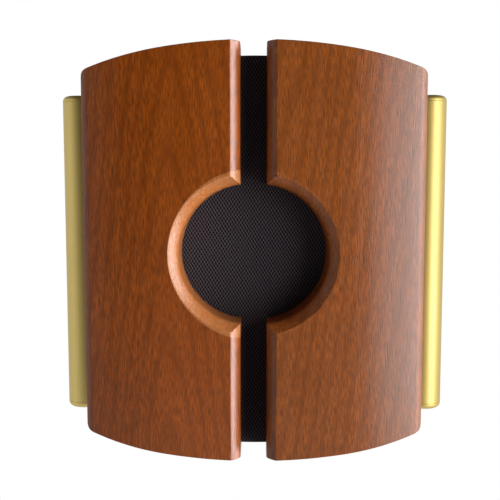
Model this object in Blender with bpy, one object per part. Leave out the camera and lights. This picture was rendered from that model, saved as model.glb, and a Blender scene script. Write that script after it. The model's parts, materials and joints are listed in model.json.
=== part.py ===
"""Wall-hung door chime: a bowed wooden front in two halves, brass tubes at the sides, and the works behind.

Metres, +Z up.  The origin is the centre of the back plate's wall face, so the wall is the plane y = 0 and
the front of the chime looks along -Y, with +X to its right as a visitor sees it.
"""
import math

import bmesh
import bpy
from mathutils import Matrix, Vector

# ---------------------------------------------------------------- driving dimensions
GAP = 0.0003                    # clearance kept between neighbouring pieces
DEPTH = 0.060                   # wall to the flat middle of the wooden front

# Wooden front halves
WOOD_HEIGHT = 0.210             # at the middle, over both arches
WOOD_WIDTH = 0.1758             # over both halves
WOOD_THICKNESS = 0.022
ARCH_RADIUS = 0.285             # top and bottom outline
WOOD_CORNER = 0.0045            # outer corners of the outline
FLAT_HALF = 0.045               # the front is flat this far from the middle line
BOW_RADIUS = 0.110              # and bends back on this radius beyond it
SLOT_WIDTH = 0.0132             # straight gap between the two halves
OPENING_RADIUS = 0.0353         # round opening, measured on its straight wall
OPENING_OFFSET = 0.0026         # each half's arc is centred this far on its own side
MOULDING_WIDTH = 0.0048         # moulded edge along the slot and round the opening
BEVEL_WIDTH = 0.0040            # its broad, slightly rounded bevel
BEVEL_START = math.radians(33)
BEVEL_END = math.radians(52)
OUTER_CREASE = 0.0832           # distance of the outer moulded edge's crease from the middle line
OUTER_START = math.radians(38)

# Cover shell and grille cloth
CLOTH_THICKNESS = 0.0008
COVER_WIDTH = 0.165
COVER_HEIGHT = 0.2053
COVER_DROP = 0.0010             # the cover sits a little low behind the wood
COVER_FRONT_WALL = 0.0024
COVER_WALL = 0.0022
COVER_CORNER = 0.006
COVER_BACK_GAP = 0.0005         # the cover stops this far from the wall
GRILLE_RADIUS = 0.027
GRILLE_BAR = 0.0026
GRILLE_SLOTS = 7
CONTROL_NOTCH = (-0.001, 0.046)   # opening in the cover's lower wall, from x to x
CONTROL_NOTCH_DEPTH = 0.0165    # measured from the wall

# Brass tubes, their caps and brackets
TUBE_RADIUS = 0.0095
TUBE_WALL = 0.0010
TUBE_LENGTH = 0.1705            # over both end caps
TUBE_X = 0.0945
TUBE_Y = -0.020
TUBE_Z = -0.0025                # the tubes hang a little below the middle
CAP_HEAD = 0.0030
CAP_ROUND = 0.0026
CAP_PLUG = 0.006
BRACKET_Z = 0.055               # from the tube's middle to each bracket
BRACKET_SIZE = (0.0062, 0.012, 0.014)
SCREW_RADIUS = 0.0014
SCREW_HOLE = 0.0017
FRONT_SCREW_AT = (0.062, 0.070)

# Back plate
RIM_GAP = 0.0005
RIM_HEIGHT = 0.015
RIM_WALL = 0.0020
PLATE_THICKNESS = 0.0025
KEYHOLE_AT = (0.058, 0.062)
KEYHOLE_HEAD = 0.0048
KEYHOLE_SLOT = 0.0023
KEYHOLE_RISE = 0.0085
BOARD_BACK = -0.0040            # rear face of both circuit boards
BOARD_THICKNESS = 0.0016

# Loudspeaker, on the Y axis
FLANGE_FRONT = -0.0310
SPEAKER_RADIUS = 0.0285
SHEET = 0.0008                  # pressed steel of the frame
BASKET_MOUTH = 0.0225           # inside radius of the basket at the flange
BASKET_SLANT = 0.0011           # its slanted wall, measured outwards
SEAT_Y = -0.0170                # back of the basket, where the magnet's front plate is fixed
SEAT_RADIUS = 0.0148
SEAT_HOLE = 0.0095
WINDOW_COUNT = 4
WINDOW_HALF = 0.0065            # half the width of each window in the basket
WINDOW_Y = (-0.0285, -0.0195)
EAR_X = 0.033
EAR_HALF = 0.0042
EAR_TIP = 0.0036                # the ear runs on this far past its hole
POST_RADIUS = 0.0034

# Its magnet: front plate, ring magnet and yoke with the pole
POLE_RADIUS = 0.0057
PLATE_BORE = 0.0067
PLATE_RADIUS = 0.0150
POLE_PLATE = 0.0020             # thickness of the front plate and of the yoke's disc
MAGNET_BORE = 0.0080
MAGNET_RADIUS = 0.0160
MAGNET_LENGTH = 0.0060

# Its cone, dust cap, voice coil, surround and spider
PAPER_THICKNESS = 0.0005
CONE_NECK = 0.0067
CONE_MOUTH = 0.0204
CONE_BACK = -0.0212
CONE_FRONT = -0.0301
DUST_CAP_RADIUS = 0.0090        # of its dome
DUST_CAP_CENTRE = -0.0173
DUST_CAP_EDGE = math.radians(-35)
COIL_RADII = (0.0060, 0.0064)
COIL_Y = (-0.0218, -0.0125)
ROLL_RADII = (0.0212, 0.0236)   # foot of the surround's half roll
ROLL_BACK = -0.0313
ROLL_HEIGHT = 0.0012
ROLL_LIP = 0.0006
SKIN = 0.0004                   # thickness of the surround and of the spider
SPIDER_RADII = (0.0068, 0.0145)
SPIDER_Y = -0.0196
SPIDER_WAVE = 0.00035
SPIDER_WAVES = 2
GASKET_RADII = (0.0248, 0.0283)
STRIP_HALF = 0.006              # tag strip on the basket's lower edge
STRIP_BACK = -0.0230
STRIP_Z = (-0.0262, -0.0250)

# Dry cells, C size
CELL_RADIUS = 0.0131
CELL_LENGTH = 0.050             # over the nub
CELL_NUB = 0.0015
CELL_NUB_RADIUS = 0.0033
CELL_CRIMP = 0.0006
CELL_Y = -0.0177
CELL_UPPER_Z = -0.0459
CELL_LOWER_Z = -0.0733
TRAY = ((-0.0740, -0.0130), (-0.0884, -0.0308))
TRAY_FLOOR = (-0.0043, -0.0028)
TRAY_TOP = -0.014
TRAY_WALL = 0.0015
CONTACT_THICKNESS = 0.0005
CONTACT_HALF = 0.006
CONTACT_TOP = -0.022
SPRING_WIRE = 0.0004            # radius
SPRING_TURNS = 3
SPRING_RADII = (0.0085, 0.0040)

# Controls along the lower edge
WHEEL_RADIUS = 0.012
WHEEL_AT = (0.0140, -0.0107, -0.0935)
WHEEL_THICKNESS = 0.004
WHEEL_RIBS = 24
TUNE_AT = (0.0325, -0.0082, -0.0962)
TUNE_TRAVEL = 0.002
TUNE_KNOB = (0.002, 0.0014)     # half its width and half its depth
LEARN_AT = (0.0424, -0.0082, -0.1044)
LEARN_RADIUS = 0.0024
LEARN_BACK = -0.0961            # the button's inner end at rest
SWITCH_LOW = -0.0950            # lower edge of the main board and of the push switch on it

# Boards and what stands on them, as (left, right) and (low, high)
MAIN_BOARD = ((0.004, 0.046), (SWITCH_LOW, -0.0430))
RECEIVER_BOARD = ((-0.030, 0.030), (0.046, 0.084))
CHIP = ((0.0190, 0.0310), (-0.0660, -0.0580))
CHIP_HEIGHT = 0.0020
CAPACITOR_AT = (0.0385, -0.0520)
CAPACITOR_RADIUS = 0.0040
CAPACITOR_HEIGHT = 0.0105
AERIAL_START = -0.012           # the aerial coil runs along X from here
AERIAL_LENGTH = 0.018
AERIAL_Z = 0.072
AERIAL_RADIUS = 0.0030
AERIAL_TURNS = 5
AERIAL_WIRE = 0.0004
POT_RADIUS = 0.0050
POT_HEIGHT = 0.0024
SHAFT_RADIUS = 0.0015
SHAFT_TIP = -0.0136

# Leads
LEAD_RADIUS = 0.0006
RECEIVER_LEAD_RADIUS = 0.0008

# ---------------------------------------------------------------- worked-out positions
FRONT_Y = -DEPTH
WOOD_BACK_Y = FRONT_Y + WOOD_THICKNESS
CLOTH_FRONT_Y = WOOD_BACK_Y + GAP
CLOTH_BACK_Y = CLOTH_FRONT_Y + CLOTH_THICKNESS
COVER_FRONT_Y = CLOTH_BACK_Y + GAP
COVER_INSIDE_Y = COVER_FRONT_Y + COVER_FRONT_WALL
FLANGE_BACK = FLANGE_FRONT + SHEET
BOARD_FRONT = BOARD_BACK - BOARD_THICKNESS
ON_BOARD = BOARD_FRONT - GAP

# ---------------------------------------------------------------- finishes: colour, roughness, metallic
WOOD = ((0.30, 0.105, 0.030), 0.38, 0.0)
BRASS = ((0.72, 0.56, 0.22), 0.34, 1.0)
CLOTH = ((0.018, 0.017, 0.022), 0.90, 0.0)
BLACK_PLASTIC = ((0.020, 0.020, 0.022), 0.55, 0.0)
GREY_PLASTIC = ((0.28, 0.28, 0.27), 0.50, 0.0)
STEEL = ((0.58, 0.58, 0.57), 0.35, 1.0)
DARK_STEEL = ((0.16, 0.16, 0.17), 0.45, 1.0)
FERRITE = ((0.045, 0.045, 0.050), 0.60, 0.0)
PAPER = ((0.035, 0.033, 0.032), 0.85, 0.0)
TAG_BOARD = ((0.34, 0.19, 0.08), 0.70, 0.0)
SPIDER_CLOTH = ((0.52, 0.33, 0.12), 0.85, 0.0)
FOAM = ((0.03, 0.03, 0.03), 0.95, 0.0)
BOARD_GREEN = ((0.02, 0.16, 0.06), 0.40, 0.0)
COPPER = ((0.72, 0.33, 0.16), 0.35, 1.0)
CELL_JACKET = ((0.06, 0.07, 0.09), 0.30, 0.2)
RED_WIRE = ((0.55, 0.02, 0.02), 0.45, 0.0)
BLACK_WIRE = ((0.015, 0.015, 0.015), 0.45, 0.0)
GREY_WIRE = ((0.35, 0.35, 0.36), 0.45, 0.0)
BUTTON_RED = ((0.45, 0.03, 0.03), 0.45, 0.0)


# ---------------------------------------------------------------- modelling helpers
def clear_scene():
    for item in list(bpy.data.objects):
        bpy.data.objects.remove(item, do_unlink=True)


def make_material(name, finish):
    colour, roughness, metallic = finish
    made = bpy.data.materials.new(name)
    made.use_nodes = True
    shader = made.node_tree.nodes["Principled BSDF"]
    shader.inputs["Base Color"].default_value = (*colour, 1.0)
    shader.inputs["Roughness"].default_value = roughness
    shader.inputs["Metallic"].default_value = metallic
    return made


def add_object(name, bm, finish, parent=None, location=(0, 0, 0)):
    bmesh.ops.recalc_face_normals(bm, faces=bm.faces)
    mesh = bpy.data.meshes.new(name)
    bm.to_mesh(mesh)
    bm.free()
    mesh.shade_smooth()
    mesh.set_sharp_from_angle(angle=math.radians(32))
    item = bpy.data.objects.new(name, mesh)
    bpy.context.scene.collection.objects.link(item)
    item.location = location
    item.parent = parent
    if finish is not None:
        mesh.materials.append(make_material(name, finish))
    return item


def add_empty(name):
    empty = bpy.data.objects.new(name, None)
    bpy.context.scene.collection.objects.link(empty)
    return empty


def as_cutter(item):
    item.hide_render = True
    item.display_type = "WIRE"
    return item


def combine(target, other, operation="DIFFERENCE"):
    step = target.modifiers.new(other.name, "BOOLEAN")
    step.operation = operation
    step.solver = "EXACT"
    step.object = as_cutter(other)


def prism_mesh(outline, start, end, axis="Y"):
    """Closed prism.  The outline lies across the axis: (x, z) for Y, (x, y) for Z and (y, z) for X."""
    place = {
        "X": lambda a, b, along: (along, a, b),
        "Y": lambda a, b, along: (a, along, b),
        "Z": lambda a, b, along: (a, b, along),
    }[axis]
    bm = bmesh.new()
    rings = [[bm.verts.new(place(a, b, along)) for a, b in outline] for along in (start, end)]
    for ring in rings:
        bm.faces.new(ring)
    count = len(outline)
    for i in range(count):
        j = (i + 1) % count
        bm.faces.new((rings[0][i], rings[0][j], rings[1][j], rings[1][i]))
    return bm


def box_mesh(x, y, z):
    """Box between the pairs of limits x, y and z."""
    return prism_mesh([(x[0], z[0]), (x[1], z[0]), (x[1], z[1]), (x[0], z[1])], y[0], y[1])


def turned_mesh(profile, steps, axis="Y"):
    """Solid of revolution from (radius, along) points.  A profile clear of the axis is closed into a ring."""
    bm = bmesh.new()
    verts = [bm.verts.new((radius, along, 0)) for radius, along in profile]
    pairs = list(zip(verts, verts[1:]))
    if profile[0][0] > 0:
        pairs.append((verts[-1], verts[0]))
    edges = [bm.edges.new(pair) for pair in pairs]
    bmesh.ops.spin(bm, geom=verts + edges, cent=(0, 0, 0), axis=(0, 1, 0), angle=math.tau, steps=steps)
    bmesh.ops.remove_doubles(bm, verts=bm.verts, dist=1e-6)
    turn = {
        "X": Matrix.Rotation(-math.pi / 2, 4, "Z"),
        "Y": Matrix.Identity(4),
        "Z": Matrix.Rotation(math.pi / 2, 4, "X"),
    }[axis]
    bmesh.ops.transform(bm, matrix=turn, verts=bm.verts)
    return bm


def rod_profile(radius, start, end):
    return [(0, start), (radius, start), (radius, end), (0, end)]


def ring_profile(inner, outer, start, end):
    return [(inner, start), (outer, start), (outer, end), (inner, end)]


def moved(bm, offset):
    bmesh.ops.translate(bm, vec=Vector(offset), verts=bm.verts)
    return bm


def joined(meshes):
    """Several closed bodies in one mesh, for use as one cutter."""
    whole = bmesh.new()
    for part in meshes:
        scratch = bpy.data.meshes.new("scratch")
        part.to_mesh(scratch)
        part.free()
        whole.from_mesh(scratch)
        bpy.data.meshes.remove(scratch)
    return whole


def arc(centre, radius, start, end, steps):
    points = []
    for i in range(steps + 1):
        angle = start + (end - start) * i / steps
        points.append((centre[0] + radius * math.cos(angle), centre[1] + radius * math.sin(angle)))
    return points


def arched_outline(width, height, arch_radius, corner, inset=0.0, arch_steps=10, corner_steps=4):
    """Outline with straight sides, arched top and bottom, and rounded corners, moved inwards by inset."""
    half_width = width / 2 - inset
    radius = arch_radius - inset
    corner = corner - inset if corner > inset else 0.0004
    centre_z = height / 2 - arch_radius
    corner_x = half_width - corner
    corner_z = centre_z + math.sqrt((radius - corner) ** 2 - corner_x ** 2)
    meet = math.atan2(corner_z - centre_z, corner_x)
    quarter = arc((corner_x, corner_z), corner, 0, meet, corner_steps)
    quarter += arc((0, centre_z), radius, meet, math.pi / 2, arch_steps)[1:]
    top = quarter + [(-x, z) for x, z in reversed(quarter[:-1])]
    return top + [(-x, -z) for x, z in top]


def wire_object(name, points, radius, finish, parent, route_steps=0):
    """Round wire through the points, on a smooth curve if route_steps is given."""
    curve = bpy.data.curves.new(name, "CURVE")
    curve.dimensions = "3D"
    curve.bevel_depth = radius
    curve.bevel_resolution = 1
    curve.use_fill_caps = True
    spline = curve.splines.new("POLY")
    smooth = smooth_route(points, route_steps) if route_steps else points
    spline.points.add(len(smooth) - 1)
    for target, point in zip(spline.points, smooth):
        target.co = (*point, 1.0)
    item = bpy.data.objects.new(name, curve)
    bpy.context.scene.collection.objects.link(item)
    item.parent = parent
    curve.materials.append(make_material(name, finish))
    return item


def smooth_route(points, steps):
    """Catmull-Rom curve through the points, with this many steps between neighbours."""
    knots = [Vector(p) for p in points]
    knots = [2 * knots[0] - knots[1]] + knots + [2 * knots[-1] - knots[-2]]
    route = []
    for a, b, c, d in zip(knots, knots[1:], knots[2:], knots[3:]):
        for i in range(steps):
            t = i / steps
            route.append(0.5 * (2 * b + (c - a) * t + (2 * a - 5 * b + 4 * c - d) * t * t
                                + (3 * b - a - 3 * c + d) * t ** 3))
    route.append(knots[-2])
    return route


# ---------------------------------------------------------------- wooden front
def curved_face(start_angle, end_angle, width, steps):
    """Rounded face between two slopes, as (across, depth) steps from its front edge."""
    radius = width / (math.sin(end_angle) - math.sin(start_angle))
    points = []
    for i in range(steps + 1):
        angle = start_angle + (end_angle - start_angle) * i / steps
        across = radius * (math.sin(angle) - math.sin(start_angle))
        points.append((across, radius * (math.cos(start_angle) - math.cos(angle))))
    return points


def moulding():
    """Edge along the slot and the opening: a broad, slightly rounded bevel, eased into the straight wall."""
    bevel = curved_face(BEVEL_START, BEVEL_END, BEVEL_WIDTH, 3)
    across, depth = bevel[-1]
    ease = curved_face(BEVEL_END, math.pi / 2, MOULDING_WIDTH - BEVEL_WIDTH, 3)
    return bevel + [(across + a, depth + d) for a, d in ease[1:]]


def bow_depth(x):
    """How far the bowed front lies behind its flat middle at this distance from the middle line."""
    beyond = max(x - FLAT_HALF, 0.0)
    return BOW_RADIUS - math.sqrt(BOW_RADIUS ** 2 - beyond ** 2)


def wood_section():
    """Horizontal section of the right half, as (x, y)."""
    wall_x = SLOT_WIDTH / 2
    half_width = WOOD_WIDTH / 2
    inner = [(wall_x + MOULDING_WIDTH - across, FRONT_Y + depth) for across, depth in moulding()]
    bow_steps = 9
    bow = []
    for i in range(bow_steps + 1):
        x = FLAT_HALF + (OUTER_CREASE - FLAT_HALF) * i / bow_steps
        bow.append((x, FRONT_Y + bow_depth(x)))
    crease_y = bow[-1][1]
    outer = [(OUTER_CREASE + across, crease_y + depth)
             for across, depth in curved_face(OUTER_START, math.pi / 2, half_width - OUTER_CREASE, 5)]
    back = [(half_width, WOOD_BACK_Y), (wall_x, WOOD_BACK_Y)]
    return list(reversed(inner)) + bow + outer[1:] + back


def opening_profile():
    """Profile of the cutter for the round opening: straight wall, then the moulded edge."""
    edge = [(OPENING_RADIUS + MOULDING_WIDTH - across, FRONT_Y + depth) for across, depth in moulding()]
    beyond = 0.004
    front = [(0, FRONT_Y - beyond), (edge[0][0], FRONT_Y - beyond)]
    back = [(OPENING_RADIUS, WOOD_BACK_Y + beyond), (0, WOOD_BACK_Y + beyond)]
    return front + edge + back


def wood_half(side, name, parent):
    beyond = 0.010
    section = [(side * x, y) for x, y in wood_section()]
    half = add_object(name, prism_mesh(section, -WOOD_HEIGHT / 2 - beyond, WOOD_HEIGHT / 2 + beyond, "Z"),
                      WOOD, parent)
    outline = arched_outline(WOOD_WIDTH, WOOD_HEIGHT, ARCH_RADIUS, WOOD_CORNER, arch_steps=18)
    arch = add_object(name + "_arch", prism_mesh(outline, FRONT_Y - beyond, WOOD_BACK_Y + beyond), None)
    combine(half, arch, "INTERSECT")
    hole = moved(turned_mesh(opening_profile(), 72), (side * OPENING_OFFSET, 0, 0))
    combine(half, add_object(name + "_opening", hole, None))
    pilots = []
    for up in (1, -1):
        pilot = turned_mesh(rod_profile(SCREW_HOLE, WOOD_BACK_Y - 0.013, WOOD_BACK_Y + 0.002), 10)
        pilots.append(moved(pilot, (side * FRONT_SCREW_AT[0], 0, up * FRONT_SCREW_AT[1])))
    combine(half, add_object(name + "_pilots", joined(pilots), None))


# ---------------------------------------------------------------- cover shell and cloth
def cover_outline(inset=0.0):
    centred = arched_outline(COVER_WIDTH, COVER_HEIGHT, ARCH_RADIUS, COVER_CORNER, inset)
    return [(x, z - COVER_DROP) for x, z in centred]


def screw_holes_mesh(radius, start, end):
    holes = []
    for right in (1, -1):
        for up in (1, -1):
            hole = turned_mesh(rod_profile(radius, start, end), 10)
            holes.append(moved(hole, (right * FRONT_SCREW_AT[0], 0, up * FRONT_SCREW_AT[1])))
    return joined(holes)


def grille_cloth(parent):
    cloth = add_object("grille_cloth", prism_mesh(cover_outline(0.0004), CLOTH_FRONT_Y, CLOTH_BACK_Y),
                       CLOTH, parent)
    holes = screw_holes_mesh(SCREW_HOLE, CLOTH_FRONT_Y - 0.002, CLOTH_BACK_Y + 0.002)
    combine(cloth, add_object("cloth_holes", holes, None))


def grille_slots_mesh():
    """Level slots inside a circle, for the sound to come through."""
    pitch = 2 * GRILLE_RADIUS / GRILLE_SLOTS
    slots = []
    for i in range(GRILLE_SLOTS):
        middle = -GRILLE_RADIUS + pitch * (i + 0.5)
        low = middle - (pitch - GRILLE_BAR) / 2
        high = middle + (pitch - GRILLE_BAR) / 2
        reach = math.sqrt(GRILLE_RADIUS ** 2 - max(abs(low), abs(high)) ** 2)
        slots.append(box_mesh((-reach, reach), (COVER_FRONT_Y - 0.002, COVER_INSIDE_Y + 0.002), (low, high)))
    return joined(slots)


def tube_screw_holes_mesh(radius, inner_x, outer_x, right):
    holes = []
    for up in (1, -1):
        hole = turned_mesh(rod_profile(radius, inner_x, outer_x), 10, "X")
        if right < 0:
            bmesh.ops.transform(hole, matrix=Matrix.Scale(-1, 4, (1, 0, 0)), verts=hole.verts)
        holes.append(moved(hole, (0, TUBE_Y, TUBE_Z + up * BRACKET_Z)))
    return joined(holes)


def cover_shell(parent):
    shell = add_object("cover_shell", prism_mesh(cover_outline(), COVER_FRONT_Y, -COVER_BACK_GAP),
                       BLACK_PLASTIC, parent)
    inside = prism_mesh(cover_outline(COVER_WALL), COVER_INSIDE_Y, 0.005)
    combine(shell, add_object("cover_inside", inside, None))
    combine(shell, add_object("cover_grille", grille_slots_mesh(), None))
    notch = box_mesh(CONTROL_NOTCH, (-CONTROL_NOTCH_DEPTH, 0.005), (-0.110, -0.094))
    combine(shell, add_object("cover_notch", notch, None))
    holes = screw_holes_mesh(SCREW_HOLE, COVER_FRONT_Y - 0.002, COVER_INSIDE_Y + 0.002)
    combine(shell, add_object("cover_screw_holes", holes, None))
    side_holes = joined([tube_screw_holes_mesh(SCREW_HOLE, 0.078, 0.085, right) for right in (1, -1)])
    combine(shell, add_object("cover_side_holes", side_holes, None))


def cross_outline(reach, width):
    """Plus-shaped outline for a cross recess."""
    arm = [(reach, -width), (reach, width), (width, width)]
    points = []
    for quarter in range(4):
        turn = math.pi / 2 * quarter
        points += [(a * math.cos(turn) - b * math.sin(turn), a * math.sin(turn) + b * math.cos(turn))
                   for a, b in arm]
    return points


def screw(name, shank, head_radius, parent, location, turn=None):
    """Pan-head screw along Y: the head lies at y > 0 and the shank runs to -shank."""
    head = 0.0018
    point = 0.0016
    profile = [(0, -shank), (SCREW_RADIUS, -shank + point), (SCREW_RADIUS, 0), (head_radius, 0),
               (head_radius, head * 0.55), (head_radius * 0.72, head), (0, head)]
    bm = turned_mesh(profile, 10)
    if turn is not None:
        bmesh.ops.transform(bm, matrix=turn, verts=bm.verts)
    item = add_object(name, bm, STEEL, parent, location)
    reach = head_radius * 0.62
    width = 0.00045
    cross = prism_mesh(cross_outline(reach, width), head * 0.45, head + 0.001)
    if turn is not None:
        bmesh.ops.transform(cross, matrix=turn, verts=cross.verts)
    combine(item, add_object(name + "_recess", cross, None, parent, location))


# ---------------------------------------------------------------- brass tubes
def brass_tube(side, name, parent):
    half = TUBE_LENGTH / 2 - CAP_HEAD - GAP
    tube = add_object(name, turned_mesh(ring_profile(TUBE_RADIUS - TUBE_WALL, TUBE_RADIUS, -half, half),
                                        32, "Z"), BRASS, parent, (side * TUBE_X, TUBE_Y, TUBE_Z))
    holes = tube_screw_holes_mesh(SCREW_HOLE, 0.083, 0.090, side)
    combine(tube, add_object(name + "_holes", holes, None))


def tube_end_cap(side, up, name, parent):
    """Plug with a rounded rim that closes one end of a tube."""
    plug_radius = TUBE_RADIUS - TUBE_WALL - GAP
    profile = [(0, -CAP_PLUG), (plug_radius, -CAP_PLUG), (plug_radius, 0), (TUBE_RADIUS, 0)]
    rim = arc((TUBE_RADIUS - CAP_ROUND, CAP_HEAD - CAP_ROUND), CAP_ROUND, 0, math.pi / 2, 4)
    profile += rim + [(0, CAP_HEAD)]
    bm = turned_mesh(profile, 32, "Z")
    if up > 0:
        tip = TUBE_Z + TUBE_LENGTH / 2 - CAP_HEAD
    else:
        bmesh.ops.transform(bm, matrix=Matrix.Rotation(math.pi, 4, "X"), verts=bm.verts)
        tip = TUBE_Z - TUBE_LENGTH / 2 + CAP_HEAD
    add_object(name, bm, BRASS, parent, (side * TUBE_X, TUBE_Y, tip))


def tube_bracket(side, up, name, parent):
    """Saddle block between the cover's side wall and a tube."""
    inner_x = COVER_WIDTH / 2 + GAP
    across, deep, tall = BRACKET_SIZE
    block = box_mesh((0, side * across), (-deep / 2, deep / 2), (-tall / 2, tall / 2))
    height = TUBE_Z + up * BRACKET_Z
    bracket = add_object(name, block, BLACK_PLASTIC, parent, (side * inner_x, TUBE_Y, height))
    saddle = turned_mesh(rod_profile(TUBE_RADIUS + GAP, -tall, tall), 32, "Z")
    saddle = add_object(name + "_saddle", saddle, None, parent, (side * TUBE_X, TUBE_Y, height))
    combine(bracket, saddle)
    hole = turned_mesh(rod_profile(SCREW_HOLE, -0.005, 0.010), 10, "X")
    if side < 0:
        bmesh.ops.transform(hole, matrix=Matrix.Scale(-1, 4, (1, 0, 0)), verts=hole.verts)
    combine(bracket, add_object(name + "_hole", hole, None, parent, (side * inner_x, TUBE_Y, height)))


def tubes(parent):
    for side, side_name in ((-1, "left"), (1, "right")):
        brass_tube(side, "brass_tube_" + side_name, parent)
        for up, up_name in ((1, "upper"), (-1, "lower")):
            tail = f"{side_name}_{up_name}"
            tube_end_cap(side, up, "tube_cap_" + tail, parent)
            tube_bracket(side, up, "tube_bracket_" + tail, parent)
            head_x = COVER_WIDTH / 2 - COVER_WALL - GAP
            turn = Matrix.Rotation(side * math.pi / 2, 4, "Z")
            screw("tube_screw_" + tail, 0.0085, 0.0026, parent,
                  (side * head_x, TUBE_Y, TUBE_Z + up * BRACKET_Z), turn)


def front_screws(parent):
    for side, side_name in ((-1, "left"), (1, "right")):
        for up, up_name in ((1, "upper"), (-1, "lower")):
            at = (side * FRONT_SCREW_AT[0], COVER_INSIDE_Y + GAP, up * FRONT_SCREW_AT[1])
            screw(f"front_screw_{side_name}_{up_name}", 0.0155, 0.0030, parent, at)


# ---------------------------------------------------------------- back plate
def keyhole_outline(x, z):
    """Round hole for a screw head with a narrower slot rising from it."""
    half = math.asin(KEYHOLE_SLOT / KEYHOLE_HEAD)
    start = math.pi / 2 + half
    points = arc((x, z), KEYHOLE_HEAD, start, start + math.tau - 2 * half, 16)
    return points + arc((x, z + KEYHOLE_RISE), KEYHOLE_SLOT, 0, math.pi, 8)


def plate_outline(inset=0.0):
    return cover_outline(COVER_WALL + RIM_GAP + inset)


def board_posts():
    """Short feet under the corners of both boards, as (x, z)."""
    main = [(x, z) for x in (0.0075, 0.0425) for z in (-0.0465, -0.0840)]
    receiver = [(x, z) for x in (-0.026, 0.026) for z in (0.050, 0.080)]
    return main + receiver


def base_plate(parent):
    plate = add_object("base_plate", prism_mesh(plate_outline(), -RIM_HEIGHT, 0), BLACK_PLASTIC, parent)
    inside = prism_mesh(plate_outline(RIM_WALL), -RIM_HEIGHT - 0.005, -PLATE_THICKNESS)
    combine(plate, add_object("plate_inside", inside, None))
    posts = [moved(turned_mesh(rod_profile(0.002, BOARD_BACK + GAP, -0.001), 12), (x, 0, z))
             for x, z in board_posts()]
    for side in (1, -1):
        post = turned_mesh(rod_profile(POST_RADIUS, FLANGE_BACK + GAP, -0.001), 20)
        posts.append(moved(post, (side * EAR_X, 0, 0)))
    combine(plate, add_object("plate_posts", joined(posts), None), "UNION")
    cuts = [moved(turned_mesh(rod_profile(SCREW_HOLE, FLANGE_BACK - 0.002, -0.018), 10),
                  (side * EAR_X, 0, 0)) for side in (1, -1)]
    for side in (1, -1):
        cuts.append(prism_mesh(keyhole_outline(side * KEYHOLE_AT[0], KEYHOLE_AT[1]), -0.006, 0.004))
    low = (-0.106, -0.0945)
    wheel_reach = 0.0114
    wheel_slot = WHEEL_THICKNESS / 2 + 0.0005
    cuts.append(box_mesh((WHEEL_AT[0] - wheel_reach, WHEEL_AT[0] + wheel_reach),
                         (WHEEL_AT[1] - wheel_slot, WHEEL_AT[1] + wheel_slot), low))
    cuts.append(box_mesh((TUNE_AT[0] - 0.0045, TUNE_AT[0] + 0.0045),
                         (TUNE_AT[1] - 0.0019, TUNE_AT[1] + 0.0019), low))
    cuts.append(moved(turned_mesh(rod_profile(LEARN_RADIUS + GAP, -0.006, 0.006), 16, "Z"),
                      (LEARN_AT[0], LEARN_AT[1], -0.0985)))
    combine(plate, add_object("plate_cuts", joined(cuts), None))


# ---------------------------------------------------------------- loudspeaker
def speaker_frame(parent):
    """Pressed basket with a flange, an ear at each side and four windows."""
    seat_front = SEAT_Y - SHEET
    profile = [(BASKET_MOUTH, FLANGE_FRONT), (SPEAKER_RADIUS, FLANGE_FRONT), (SPEAKER_RADIUS, FLANGE_BACK),
               (BASKET_MOUTH + BASKET_SLANT, FLANGE_BACK), (SEAT_RADIUS, SEAT_Y), (SEAT_HOLE, SEAT_Y),
               (SEAT_HOLE, seat_front), (SEAT_RADIUS - SHEET, seat_front), (BASKET_MOUTH, FLANGE_BACK)]
    frame = add_object("speaker_frame", turned_mesh(profile, 36), DARK_STEEL, parent)
    ears = []
    holes = []
    for side in (1, -1):
        ears.append(box_mesh((side * (SPEAKER_RADIUS - 0.003), side * (EAR_X + EAR_TIP)),
                             (FLANGE_FRONT, FLANGE_BACK), (-EAR_HALF, EAR_HALF)))
        hole = turned_mesh(rod_profile(SCREW_HOLE, FLANGE_FRONT - 0.002, FLANGE_BACK + 0.002), 12)
        holes.append(moved(hole, (side * EAR_X, 0, 0)))
    combine(frame, add_object("speaker_ears", joined(ears), None), "UNION")
    combine(frame, add_object("speaker_ear_holes", joined(holes), None))
    windows = []
    for i in range(WINDOW_COUNT):
        window = box_mesh((SEAT_RADIUS - 0.0013, SPEAKER_RADIUS + 0.0015), WINDOW_Y,
                          (-WINDOW_HALF, WINDOW_HALF))
        turn = Matrix.Rotation(math.tau * (i + 0.5) / WINDOW_COUNT, 4, "Y")
        bmesh.ops.transform(window, matrix=turn, verts=window.verts)
        windows.append(window)
    combine(frame, add_object("speaker_windows", joined(windows), None))


def magnet_system(parent):
    plate_front = SEAT_Y + GAP
    plate_back = plate_front + POLE_PLATE
    magnet_front = plate_back + GAP
    magnet_back = magnet_front + MAGNET_LENGTH
    yoke_front = magnet_back + GAP
    yoke_back = yoke_front + POLE_PLATE
    add_object("speaker_front_plate",
               turned_mesh(ring_profile(PLATE_BORE, PLATE_RADIUS, plate_front, plate_back), 32), STEEL, parent)
    add_object("speaker_magnet",
               turned_mesh(ring_profile(MAGNET_BORE, MAGNET_RADIUS, magnet_front, magnet_back), 32), FERRITE,
               parent)
    yoke = [(0, plate_front), (POLE_RADIUS, plate_front), (POLE_RADIUS, yoke_front),
            (PLATE_RADIUS, yoke_front), (PLATE_RADIUS, yoke_back), (0, yoke_back)]
    add_object("speaker_yoke", turned_mesh(yoke, 32), STEEL, parent)


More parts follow.
